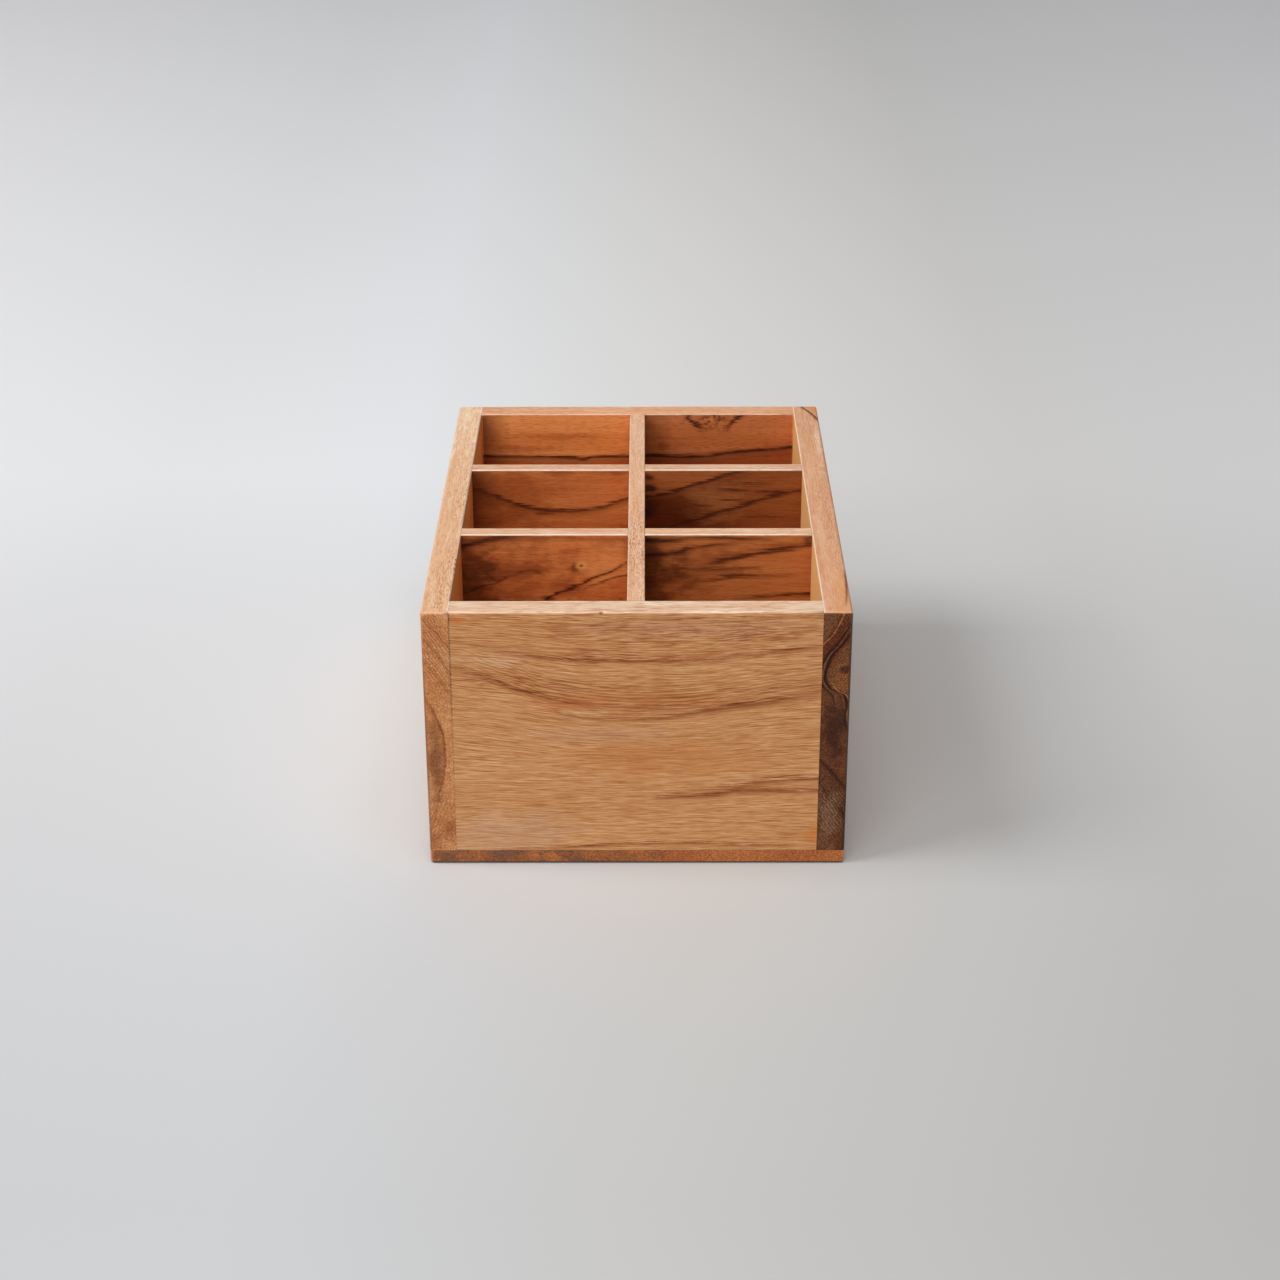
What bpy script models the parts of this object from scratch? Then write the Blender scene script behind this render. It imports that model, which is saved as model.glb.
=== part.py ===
"""Open-top teak amenity holder box with six compartments.

Lengths are in metres, +Z is up, the front faces -Y and the right side is at +X.
The origin is the centre of the underside, where the box stands.

The compartments drive the size: the box is as wide and as deep as its cells, its dividers
and its walls together. Four walls meet in butt joints with hidden dowels, the front and the
back standing between the two sides. Three dividers cross in lap joints, and their ends slide
up into housings that stop short of the rim. A bottom board is screwed on from below.
"""
import math

import bmesh
import bpy
from mathutils import Vector

# Compartments
CELL_WIDTH = 0.06205
FRONT_CELL_DEPTH = 0.0590
MIDDLE_CELL_DEPTH = 0.0590
REAR_CELL_DEPTH = 0.0572

# Boards
WALL_HEIGHT = 0.0947
LEFT_SIDE_THICKNESS = 0.0096
RIGHT_SIDE_THICKNESS = 0.0101
FRONT_THICKNESS = 0.0097
BACK_THICKNESS = 0.0097
DIVIDER_THICKNESS = 0.0062
BOTTOM_THICKNESS = 0.0055

# The clearance between pieces that touch, and how far a cutter runs past what it cuts
JOINT_GAP = 0.0003
CUTTER_OVERRUN = 0.0020

# Eased edges
RIM_EASE = 0.0010
CORNER_EASE = 0.0008
INNER_EASE = 0.00035
BOTTOM_SIDE_EASE = 0.0018
BOTTOM_END_EASE = 0.0008
EASE_SEGMENTS = 3

# Divider joints: how much of the height the lap takes from below, and the stopped housings
LAP_SHARE = 0.5
HOUSING_DEPTH = 0.0020
HOUSING_STOP = 0.0100

# Fluted dowels
DOWEL_DIAMETER = 0.0050
DOWEL_LENGTH = 0.0200
DOWEL_SIDE_SHARE = 0.62
DOWEL_END_DISTANCE = 0.0160
DOWEL_CHAMFER = 0.0005
DOWEL_FLUTE_DEPTH = 0.0002
DOWEL_FLUTES = 10

# Countersunk wood screws
SCREW_DIAMETER = 0.0025
SCREW_LENGTH = 0.0160
SCREW_THREAD_DEPTH = 0.0003
SCREW_THREAD_PITCH = 0.0012
SCREW_PLAIN_LENGTH = 0.0045
SCREW_POINT_LENGTH = 0.0028
SCREW_HEAD_DIAMETER = 0.0047
SCREW_HEAD_EDGE = 0.0003
SCREW_HEAD_SINK = 0.0003
SCREW_SIDES = 12
RECESS_WIDTH = 0.0026
RECESS_ARM = 0.0007
RECESS_DEPTH = 0.0010

# Round holes, and the distance under which points of one mesh are the same point
HOLE_SIDES = 16
MERGE_DISTANCE = 0.000002

# Finishes: colour, roughness and metallic value of each kind of piece
FINISHES = {
    "left_side": ("#D9AD80", 0.48, 0.0),
    "right_side": ("#CF9B70", 0.48, 0.0),
    "front_panel": ("#DFA878", 0.46, 0.0),
    "back_panel": ("#C98652", 0.48, 0.0),
    "bottom_board": ("#B77847", 0.50, 0.0),
    "centre_divider": ("#D59C6C", 0.47, 0.0),
    "front_cross_divider": ("#CF9263", 0.47, 0.0),
    "rear_cross_divider": ("#D29767", 0.47, 0.0),
    "dowel": ("#DDBE93", 0.60, 0.0),
    "screw": ("#B9B6AE", 0.32, 1.0),
}

# Overall size, from the cells, the dividers and the walls
BOX_WIDTH = LEFT_SIDE_THICKNESS + 2 * CELL_WIDTH + DIVIDER_THICKNESS + RIGHT_SIDE_THICKNESS
BOX_DEPTH = (
    FRONT_THICKNESS + FRONT_CELL_DEPTH + MIDDLE_CELL_DEPTH + REAR_CELL_DEPTH
    + 2 * DIVIDER_THICKNESS + BACK_THICKNESS
)
WALL_BASE = BOTTOM_THICKNESS + JOINT_GAP
RIM = WALL_BASE + WALL_HEIGHT

# Outer and inner faces of the walls
LEFT, RIGHT = -BOX_WIDTH / 2, BOX_WIDTH / 2
FRONT, BACK = -BOX_DEPTH / 2, BOX_DEPTH / 2
INNER_LEFT = LEFT + LEFT_SIDE_THICKNESS
INNER_RIGHT = RIGHT - RIGHT_SIDE_THICKNESS
INNER_FRONT = FRONT + FRONT_THICKNESS
INNER_BACK = BACK - BACK_THICKNESS

# Where each divider starts: its left face, or its front face
CENTRE_START = INNER_LEFT + CELL_WIDTH
FRONT_CROSS_START = INNER_FRONT + FRONT_CELL_DEPTH
REAR_CROSS_START = INNER_BACK - REAR_CELL_DEPTH - DIVIDER_THICKNESS

# Heights of the lap's meeting line, the housings' tops and the tops of the tongues in them
LAP_HEIGHT = WALL_BASE + LAP_SHARE * WALL_HEIGHT
HOUSING_TOP = RIM - HOUSING_STOP
TONGUE_TOP = HOUSING_TOP - JOINT_GAP
TONGUE_REACH = HOUSING_DEPTH - JOINT_GAP


def clear_objects():
    for found in list(bpy.data.objects):
        bpy.data.objects.remove(found, do_unlink=True)


def new_collection(name):
    collection = bpy.data.collections.new(name)
    bpy.context.scene.collection.children.link(collection)
    return collection


def linear_colour(code):
    """Turn an sRGB hex code into linear red, green, blue and alpha."""
    values = [int(code[at:at + 2], 16) / 255 for at in (1, 3, 5)]
    return [v / 12.92 if v <= 0.04045 else ((v + 0.055) / 1.055) ** 2.4 for v in values] + [1]


def finish(name, kind):
    """One Principled material for one piece."""
    colour, roughness, metallic = FINISHES[kind]
    material = bpy.data.materials.new(name + "_finish")
    material.use_nodes = True
    shader = material.node_tree.nodes["Principled BSDF"]
    shader.inputs["Base Color"].default_value = linear_colour(colour)
    shader.inputs["Roughness"].default_value = roughness
    shader.inputs["Metallic"].default_value = metallic
    material.diffuse_color = linear_colour(colour)
    return material


def place(name, mesh, collection, location=(0, 0, 0), rotation=(0, 0, 0)):
    """Put a mesh into the scene as one object of the box."""
    piece = bpy.data.objects.new(name, mesh)
    piece.location = location
    piece.rotation_euler = rotation
    piece.parent = STAND
    collection.objects.link(piece)
    return piece


def place_cutter(name, mesh, location=(0, 0, 0), rotation=(0, 0, 0)):
    cutter = place(name, mesh, CUTTERS, location, rotation)
    cutter.display_type = "WIRE"
    cutter.hide_render = True
    return cutter


def cut(piece, *cutters):
    """Cut each cutter out of a piece."""
    for cutter in cutters:
        modifier = piece.modifiers.new(cutter.name, "BOOLEAN")
        modifier.operation = "DIFFERENCE"
        modifier.solver = "EXACT"
        modifier.object = cutter


def evaluated_mesh(piece):
    """The mesh that an object has with its modifiers, as a mesh of its own."""
    graph = bpy.context.evaluated_depsgraph_get()
    return bpy.data.meshes.new_from_object(piece.evaluated_get(graph))


def shade_round(mesh):
    mesh.shade_smooth()
    mesh.set_sharp_from_angle(angle=math.radians(35))


def face_names(edge):
    """The two sides of a box, in words, that one of its edges joins."""
    middle = (edge.verts[0].co + edge.verts[1].co) / 2
    along = edge.verts[0].co - edge.verts[1].co
    names = (("left", "right"), ("front", "back"), ("bottom", "top"))
    return frozenset(names[i][middle[i] > 0] for i in range(3) if abs(along[i]) == 0)


def box_mesh(name, size, eases=None):
    """A box about its centre, with a bevel weight on each edge that is to be eased."""
    shape = bmesh.new()
    bmesh.ops.create_cube(shape, size=1)
    bmesh.ops.scale(shape, vec=size, verts=shape.verts)
    if eases:
        widest = max(eases.values())
        weight = shape.edges.layers.float.new("bevel_weight_edge")
        by_faces = {frozenset(faces): ease for faces, ease in eases.items()}
        for edge in shape.edges:
            edge[weight] = by_faces.get(face_names(edge), 0) / widest
    mesh = bpy.data.meshes.new(name)
    shape.to_mesh(mesh)
    shape.free()
    return mesh


def board(name, low, high, eases):
    """A planed board between two corners, its named edges eased."""
    low, high = Vector(low), Vector(high)
    mesh = box_mesh(name, high - low, eases)
    mesh.materials.append(finish(name, name))
    piece = place(name, mesh, BOX, (low + high) / 2)
    bevel = piece.modifiers.new("eased_edges", "BEVEL")
    bevel.limit_method = "WEIGHT"
    bevel.width = max(eases.values())
    bevel.segments = EASE_SEGMENTS
    return piece


def box_cutter(name, low, high):
    low, high = Vector(low), Vector(high)
    return place_cutter(name, box_mesh(name, high - low), (low + high) / 2)


def turned(name, profile, sides, place_it, location=(0, 0, 0), rotation=(0, 0, 0)):
    """A profile of radius and height, top to bottom, turned about Z by a Screw modifier."""
    mesh = bpy.data.meshes.new(name)
    points = [(radius, 0, height) for radius, height in profile]
    mesh.from_pydata(points, [(at, at + 1) for at in range(len(points) - 1)], [])
    piece = place_it(name, mesh, location=location, rotation=rotation)
    screw = piece.modifiers.new("turned", "SCREW")
    screw.axis = "Z"
    screw.steps = sides
    screw.render_steps = sides
    screw.use_merge_vertices = True
    screw.merge_threshold = MERGE_DISTANCE
    return piece


def make_walls():
    """The two sides run the full depth, and the front and back stand between them."""
    side_eases = {
        ("front", "top"): RIM_EASE,
        ("back", "top"): RIM_EASE,
    }
    left = board("left_side", (LEFT, FRONT, WALL_BASE), (INNER_LEFT, BACK, RIM), {
        **side_eases,
        ("left", "top"): RIM_EASE,
        ("right", "top"): INNER_EASE,
        ("left", "front"): CORNER_EASE,
        ("left", "back"): CORNER_EASE,
    })
    right = board("right_side", (INNER_RIGHT, FRONT, WALL_BASE), (RIGHT, BACK, RIM), {
        **side_eases,
        ("right", "top"): RIM_EASE,
        ("left", "top"): INNER_EASE,
        ("right", "front"): CORNER_EASE,
        ("right", "back"): CORNER_EASE,
    })
    start, end = INNER_LEFT + JOINT_GAP, INNER_RIGHT - JOINT_GAP
    front = board("front_panel", (start, FRONT, WALL_BASE), (end, INNER_FRONT, RIM), {
        ("front", "top"): RIM_EASE,
        ("back", "top"): INNER_EASE,
    })
    back = board("back_panel", (start, INNER_BACK, WALL_BASE), (end, BACK, RIM), {
        ("back", "top"): RIM_EASE,
        ("front", "top"): INNER_EASE,
    })
    return left, right, front, back


def make_bottom():
    """The bottom board lies under all four walls, flush with their outer faces."""
    upright = {
        (side, end): CORNER_EASE for side in ("left", "right") for end in ("front", "back")
    }
    return board("bottom_board", (LEFT, FRONT, 0), (RIGHT, BACK, BOTTOM_THICKNESS), {
        **upright,
        ("left", "bottom"): BOTTOM_SIDE_EASE,
        ("right", "bottom"): BOTTOM_SIDE_EASE,
        ("front", "bottom"): BOTTOM_END_EASE,
        ("back", "bottom"): BOTTOM_END_EASE,
    })


def cross_divider(name, start, left, right):
    """A divider from side to side, with tongues at its ends, housed in both sides."""
    tongue_left = INNER_LEFT - TONGUE_REACH
    tongue_right = INNER_RIGHT + TONGUE_REACH
    end = start + DIVIDER_THICKNESS
    piece = board(name, (tongue_left, start, WALL_BASE), (tongue_right, end, RIM), {
        ("front", "top"): INNER_EASE,
        ("back", "top"): INNER_EASE,
    })
    past_start, past_end = start - CUTTER_OVERRUN, end + CUTTER_OVERRUN
    over_rim = RIM + CUTTER_OVERRUN
    cut(
        piece,
        box_cutter(
            name + "_left_shoulder_cut",
            (tongue_left - CUTTER_OVERRUN, past_start, TONGUE_TOP),
            (INNER_LEFT + JOINT_GAP, past_end, over_rim),
        ),
        box_cutter(
            name + "_right_shoulder_cut",
            (INNER_RIGHT - JOINT_GAP, past_start, TONGUE_TOP),
            (tongue_right + CUTTER_OVERRUN, past_end, over_rim),
        ),
        box_cutter(
            name + "_lap_cut",
            (CENTRE_START - JOINT_GAP, past_start, LAP_HEIGHT - JOINT_GAP / 2),
            (CENTRE_START + DIVIDER_THICKNESS + JOINT_GAP, past_end, over_rim),
        ),
    )
    under = WALL_BASE - CUTTER_OVERRUN
    for side, inner, outer in (
        (left, INNER_LEFT + CUTTER_OVERRUN, INNER_LEFT - HOUSING_DEPTH),
        (right, INNER_RIGHT - CUTTER_OVERRUN, INNER_RIGHT + HOUSING_DEPTH),
    ):
        cut(side, box_cutter(
            name + "_housing_in_" + side.name,
            (min(inner, outer), start - JOINT_GAP, under),
            (max(inner, outer), end + JOINT_GAP, HOUSING_TOP),
        ))


def centre_divider(front, back):
    """The divider from front to back, lapped over both cross dividers from above."""
    name = "centre_divider"
    start, end = CENTRE_START, CENTRE_START + DIVIDER_THICKNESS
    tongue_front = INNER_FRONT - TONGUE_REACH
    tongue_back = INNER_BACK + TONGUE_REACH
    piece = board(name, (start, tongue_front, WALL_BASE), (end, tongue_back, RIM), {
        ("left", "top"): INNER_EASE,
        ("right", "top"): INNER_EASE,
    })
    past_start, past_end = start - CUTTER_OVERRUN, end + CUTTER_OVERRUN
    over_rim = RIM + CUTTER_OVERRUN
    under = WALL_BASE - CUTTER_OVERRUN
    cut(
        piece,
        box_cutter(
            name + "_front_shoulder_cut",
            (past_start, tongue_front - CUTTER_OVERRUN, TONGUE_TOP),
            (past_end, INNER_FRONT + JOINT_GAP, over_rim),
        ),
        box_cutter(
            name + "_back_shoulder_cut",
            (past_start, INNER_BACK - JOINT_GAP, TONGUE_TOP),
            (past_end, tongue_back + CUTTER_OVERRUN, over_rim),
        ),
    )
    for lap, lap_start in (("front", FRONT_CROSS_START), ("rear", REAR_CROSS_START)):
        cut(piece, box_cutter(
            name + "_" + lap + "_lap_cut",
            (past_start, lap_start - JOINT_GAP, under),
            (past_end, lap_start + DIVIDER_THICKNESS + JOINT_GAP, LAP_HEIGHT + JOINT_GAP / 2),
        ))
    for panel, inner, outer in (
        (front, INNER_FRONT + CUTTER_OVERRUN, INNER_FRONT - HOUSING_DEPTH),
        (back, INNER_BACK - CUTTER_OVERRUN, INNER_BACK + HOUSING_DEPTH),
    ):
        cut(panel, box_cutter(
            name + "_housing_in_" + panel.name,
            (start - JOINT_GAP, min(inner, outer), under),
            (end + JOINT_GAP, max(inner, outer), HOUSING_TOP),
        ))


def dowel_mesh():
    """A turned dowel with chamfered ends, its section drawn in between the flutes."""
    radius, half = DOWEL_DIAMETER / 2, DOWEL_LENGTH / 2
    profile = (
        (0, half),
        (radius - DOWEL_CHAMFER, half),
        (radius, half - DOWEL_CHAMFER),
        (radius, DOWEL_CHAMFER - half),
        (radius - DOWEL_CHAMFER, -half),
        (0, -half),
    )
    blank = turned("dowel_blank", profile, 2 * DOWEL_FLUTES, place_cutter)
    mesh = evaluated_mesh(blank)
    bpy.data.objects.remove(blank, do_unlink=True)
    for vertex in mesh.vertices:
        from_axis = math.hypot(vertex.co.x, vertex.co.y)
        if from_axis > MERGE_DISTANCE:
            angle = math.atan2(vertex.co.y, vertex.co.x)
            flute = (1 - math.cos(DOWEL_FLUTES * angle)) / 2
            share = 1 - flute * DOWEL_FLUTE_DEPTH / from_axis
            vertex.co.x *= share
            vertex.co.y *= share
    shade_round(mesh)
    return mesh


def make_dowels(left, right, front, back):
    """Three dowels in each corner, from the side into the end grain of the panel."""
    mesh = dowel_mesh()
    low, high = WALL_BASE + DOWEL_END_DISTANCE, RIM - DOWEL_END_DISTANCE
    heights = (("low", low), ("middle", (low + high) / 2), ("high", high))
    hole_radius, hole_half = DOWEL_DIAMETER / 2 + JOINT_GAP, DOWEL_LENGTH / 2 + JOINT_GAP
    hole = ((0, hole_half), (hole_radius, hole_half), (hole_radius, -hole_half), (0, -hole_half))
    sides = (
        ("left", left, INNER_LEFT, LEFT_SIDE_THICKNESS, 1),
        ("right", right, INNER_RIGHT, RIGHT_SIDE_THICKNESS, -1),
    )
    panels = (("front", front, (FRONT + INNER_FRONT) / 2), ("back", back, (BACK + INNER_BACK) / 2))
    turn = (0, math.radians(90), 0)
    for side_name, side, joint, thickness, inward in sides:
        middle = joint + inward * (DOWEL_LENGTH / 2 - DOWEL_SIDE_SHARE * thickness)
        for panel_name, panel, depth in panels:
            for level, height in heights:
                name = f"dowel_{side_name}_{panel_name}_{level}"
                spot = (middle, depth, height)
                dowel = place(name, mesh.copy(), BOX, spot, turn)
                dowel.data.materials.append(finish(name, "dowel"))
                bore = turned(name + "_hole", hole, HOLE_SIDES, place_cutter, spot, turn)
                cut(side, bore)
                cut(panel, bore)


def screw_core(height):
    """The radius at the foot of the thread, which tapers to nothing at the point."""
    radius = SCREW_DIAMETER / 2 - SCREW_THREAD_DEPTH
    return radius * min(1, (SCREW_LENGTH - height) / SCREW_POINT_LENGTH)


def thread_ridge(height):
    """How far the thread stands out, rising and falling over one pitch at its two ends."""
    into = min(height - SCREW_PLAIN_LENGTH, SCREW_LENGTH - height) / SCREW_THREAD_PITCH
    return SCREW_THREAD_DEPTH * max(0, min(1, into))


def screw_mesh():
    """A countersunk wood screw, head down, with a helical thread and a cross recess.

    A sheet of points is wrapped round the axis. Its first rows are the head and the plain
    shank. The rest climb one pitch in each turn, by turns foot and ridge of the thread, and
    are held between the thread's two ends.
    """
    head, shank = SCREW_HEAD_DIAMETER / 2, SCREW_DIAMETER / 2 - SCREW_THREAD_DEPTH
    plain = (
        (0, 0),
        (head, 0),
        (head, SCREW_HEAD_EDGE),
        (shank, SCREW_HEAD_EDGE + head - shank),
        (shank, SCREW_PLAIN_LENGTH),
    )
    turns = math.ceil((SCREW_LENGTH - SCREW_PLAIN_LENGTH) / SCREW_THREAD_PITCH)
    thread_rows = 2 * (turns + 1) + 1
    rows = len(plain) + thread_rows
    shape = bmesh.new()
    bmesh.ops.create_grid(shape, x_segments=SCREW_SIDES, y_segments=rows - 1, size=0.5)
    for vertex in shape.verts:
        around = vertex.co.x + 0.5
        row = round((vertex.co.y + 0.5) * (rows - 1))
        if row < len(plain):
            radius, height = plain[row]
        else:
            step = row - len(plain)
            height = SCREW_PLAIN_LENGTH + SCREW_THREAD_PITCH * (step / 2 - 1 + around)
            height = max(SCREW_PLAIN_LENGTH, min(SCREW_LENGTH, height))
            radius = screw_core(height) + (step % 2) * thread_ridge(height)
        angle = 2 * math.pi * around
        vertex.co = (radius * math.cos(angle), radius * math.sin(angle), height)
    bmesh.ops.remove_doubles(shape, verts=shape.verts, dist=MERGE_DISTANCE)
    bmesh.ops.recalc_face_normals(shape, faces=shape.faces)
    blank_mesh = bpy.data.meshes.new("screw_blank")
    shape.to_mesh(blank_mesh)
    shape.free()
    blank = place_cutter("screw_blank", blank_mesh)
    wide, arm = RECESS_WIDTH / 2, RECESS_ARM / 2
    arms = [
        box_cutter("screw_recess_across", (-wide, -arm, -CUTTER_OVERRUN), (wide, arm, RECESS_DEPTH)),
        box_cutter("screw_recess_along", (-arm, -wide, -CUTTER_OVERRUN), (arm, wide, RECESS_DEPTH)),
    ]
    cut(blank, *arms)
    mesh = evaluated_mesh(blank)
    for spent in [blank] + arms:
        bpy.data.objects.remove(spent, do_unlink=True)
    shade_round(mesh)
    return mesh


def make_screws(left, right, front, back, bottom):
    """Two screws up into each wall, at the middle of the end cells, their heads sunk in."""
    mesh = screw_mesh()
    head, bore = SCREW_HEAD_DIAMETER / 2 + JOINT_GAP, SCREW_DIAMETER / 2 + JOINT_GAP
    mouth = SCREW_HEAD_SINK + SCREW_HEAD_EDGE
    tip = SCREW_HEAD_SINK + SCREW_LENGTH + JOINT_GAP
    hole = (
        (0, tip),
        (bore, tip),
        (bore, mouth + head - bore),
        (head, mouth),
        (head, -CUTTER_OVERRUN),
        (0, -CUTTER_OVERRUN),
    )
    left_cell, right_cell = INNER_LEFT + CELL_WIDTH / 2, INNER_RIGHT - CELL_WIDTH / 2
    front_cell, rear_cell = INNER_FRONT + FRONT_CELL_DEPTH / 2, INNER_BACK - REAR_CELL_DEPTH / 2
    places = (
        ("left_front", left, (LEFT + INNER_LEFT) / 2, front_cell),
        ("left_rear", left, (LEFT + INNER_LEFT) / 2, rear_cell),
        ("right_front", right, (RIGHT + INNER_RIGHT) / 2, front_cell),
        ("right_rear", right, (RIGHT + INNER_RIGHT) / 2, rear_cell),
        ("front_left", front, left_cell, (FRONT + INNER_FRONT) / 2),
        ("front_right", front, right_cell, (FRONT + INNER_FRONT) / 2),
        ("back_left", back, left_cell, (BACK + INNER_BACK) / 2),
        ("back_right", back, right_cell, (BACK + INNER_BACK) / 2),
    )
    for where, wall, across, along in places:
        name = "screw_" + where
        screw = place(name, mesh.copy(), BOX, (across, along, SCREW_HEAD_SINK))
        screw.data.materials.append(finish(name, "screw"))
        drilled = turned(name + "_hole", hole, HOLE_SIDES, place_cutter, (across, along, 0))
        cut(bottom, drilled)
        cut(wall, drilled)


clear_objects()
BOX = new_collection("amenity_holder_box")
CUTTERS = new_collection("cutters")
STAND = bpy.data.objects.new("box_base_point", None)
BOX.objects.link(STAND)

left_side, right_side, front_panel, back_panel = make_walls()
bottom_board = make_bottom()
centre_divider(front_panel, back_panel)
cross_divider("front_cross_divider", FRONT_CROSS_START, left_side, right_side)
cross_divider("rear_cross_divider", REAR_CROSS_START, left_side, right_side)
make_dowels(left_side, right_side, front_panel, back_panel)
make_screws(left_side, right_side, front_panel, back_panel, bottom_board)
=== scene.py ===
# An open teak box for bathroom and vanity things, 150 x 207 x 100.5 mm, with six cells.
# The frame gives every board's place; this script gives each board its own figure and finish.
import math
from functools import partial

import bmesh
import bpy
from mathutils import Matrix, Vector, noise


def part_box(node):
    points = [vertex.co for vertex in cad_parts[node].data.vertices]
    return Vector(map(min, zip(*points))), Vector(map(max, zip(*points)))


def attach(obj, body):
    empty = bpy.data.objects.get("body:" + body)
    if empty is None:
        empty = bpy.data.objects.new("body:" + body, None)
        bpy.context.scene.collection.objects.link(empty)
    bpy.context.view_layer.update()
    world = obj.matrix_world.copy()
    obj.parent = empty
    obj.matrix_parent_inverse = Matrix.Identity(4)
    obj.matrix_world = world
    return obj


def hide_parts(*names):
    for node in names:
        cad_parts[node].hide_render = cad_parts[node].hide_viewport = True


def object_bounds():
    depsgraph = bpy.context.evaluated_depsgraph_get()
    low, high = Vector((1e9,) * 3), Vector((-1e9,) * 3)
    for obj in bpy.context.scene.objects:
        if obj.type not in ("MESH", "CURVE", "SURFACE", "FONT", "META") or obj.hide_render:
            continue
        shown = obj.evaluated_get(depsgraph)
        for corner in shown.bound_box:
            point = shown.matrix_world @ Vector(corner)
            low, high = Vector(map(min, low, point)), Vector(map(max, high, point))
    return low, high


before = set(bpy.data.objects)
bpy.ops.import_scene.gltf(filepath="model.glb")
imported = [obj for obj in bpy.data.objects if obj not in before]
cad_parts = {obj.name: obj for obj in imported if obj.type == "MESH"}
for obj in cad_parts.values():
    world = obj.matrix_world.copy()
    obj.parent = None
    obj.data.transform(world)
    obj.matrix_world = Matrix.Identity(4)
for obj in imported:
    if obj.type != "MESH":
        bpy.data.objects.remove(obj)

cad_low, cad_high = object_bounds()
MM = 0.001
COLLECTION = bpy.context.scene.collection

# Camera: half a metre up and nearly a metre in front of the box, looking down 25 degrees
# through a 70 mm lens, as a catalogue photograph is taken from across a table.
LENS = 70.0
SENSOR = 36.0
PITCH, YAW, ROLL = (math.radians(angle) for angle in (25.413, 0.160, -0.119))
STANDPOINT = Vector((3.364, -885.009, 461.135)) * MM

ahead = Vector((-math.sin(YAW) * math.cos(PITCH), math.cos(YAW) * math.cos(PITCH), -math.sin(PITCH)))
level = Vector((math.cos(YAW), math.sin(YAW), 0.0))
upright = level.cross(ahead)
rightward = level * math.cos(ROLL) + upright * math.sin(ROLL)
upward = upright * math.cos(ROLL) - level * math.sin(ROLL)
camera_data = bpy.data.cameras.new("camera")
camera_data.lens = LENS
camera_data.sensor_width = SENSOR
camera = bpy.data.objects.new("camera", camera_data)
aim = Matrix((rightward, upward, -ahead)).transposed()
camera.matrix_world = Matrix.Translation(STANDPOINT) @ aim.to_4x4()
COLLECTION.objects.link(camera)
bpy.context.scene.camera = camera
bpy.context.scene.view_settings.view_transform = "Standard"

# Floor and light: one sheet of matt white paper that curves up behind the box, a softbox high on
# the left, a wide window in front, a weaker softbox overhead, and a dim pale room. The paper's
# tones are painted light and shade, pairs of a colour and how far in metres it lies to the right, or behind.
FLOOR_REACH = 4.0
FLOOR_BACK = 3.0
FLOOR_CURVE = 1.0
CURVE_STEPS = 24
FLOOR_LIGHT_SIDEWAYS = (("#F4F4F6", -0.55), ("#EEEFF1", -0.24), ("#F1F3F6", -0.12), ("#EBEAE8", 0.02),
                  ("#DEDDDC", 0.20), ("#E6E6E8", 0.50))
FLOOR_LIGHT_BACKWARD = (("#D4D4D4", -0.30), ("#D9D9D9", -0.19), ("#E7E7E7", 0.08), ("#F6F6F6", 0.28),
                  ("#F6F6F6", 0.60), ("#F6F6F6", 1.20))
ROOM_STRENGTH = 0.25
LAMP_DISTANCE = 3.0
LAMPS = (("key_softbox", Vector((-0.66, -0.13, 0.74)), 1.4, 45.5),
         ("window", Vector((-0.24, -0.84, 0.48)), 2.6, 39.0),
         ("top_softbox", Vector((0.08, -0.28, 0.95)), 1.8, 22.5))


def shade(code):
    """The linear colour of an sRGB hex code, with full alpha."""
    parts = [int(code[i:i + 2], 16) / 255 for i in (1, 3, 5)]
    return (*(c / 12.92 if c <= 0.04045 else ((c + 0.055) / 1.055) ** 2.4 for c in parts), 1.0)


def add(tree, kind, *inputs, output=0, where=None, **settings):
    """Adds a shader node with its settings and gives one of its outputs. Inputs, in order or
    where their names or numbers say, are values to set or outputs to link."""
    node = tree.nodes.new("ShaderNode" + kind)
    for key, value in settings.items():
        setattr(node, key, value)
    for key, value in (*enumerate(inputs), *(where or {}).items()):
        if isinstance(value, bpy.types.NodeSocket):
            tree.links.new(value, node.inputs[key])
        else:
            node.inputs[key].default_value = value
    return node.outputs[output] if node.outputs else node


def start_material(name):
    """An empty node material and its tree."""
    material = bpy.data.materials.new(name)
    material.use_nodes = True
    material.node_tree.nodes.clear()
    return material, material.node_tree


def tones_between(tree, value, stops):
    """Tones that follow a value. Each stop is a hex code and the value where it stands."""
    first, last = stops[0][1], stops[-1][1]
    share = add(tree, "MapRange", value, first, last)
    tones = add(tree, "ValToRGB", share)
    elements = tones.node.color_ramp.elements
    while len(elements) < len(stops):
        elements.new(0.5)
    for element, (code, at) in zip(elements, stops):
        element.position = (at - first) / (last - first)
        element.color = shade(code)
    return tones


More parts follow.
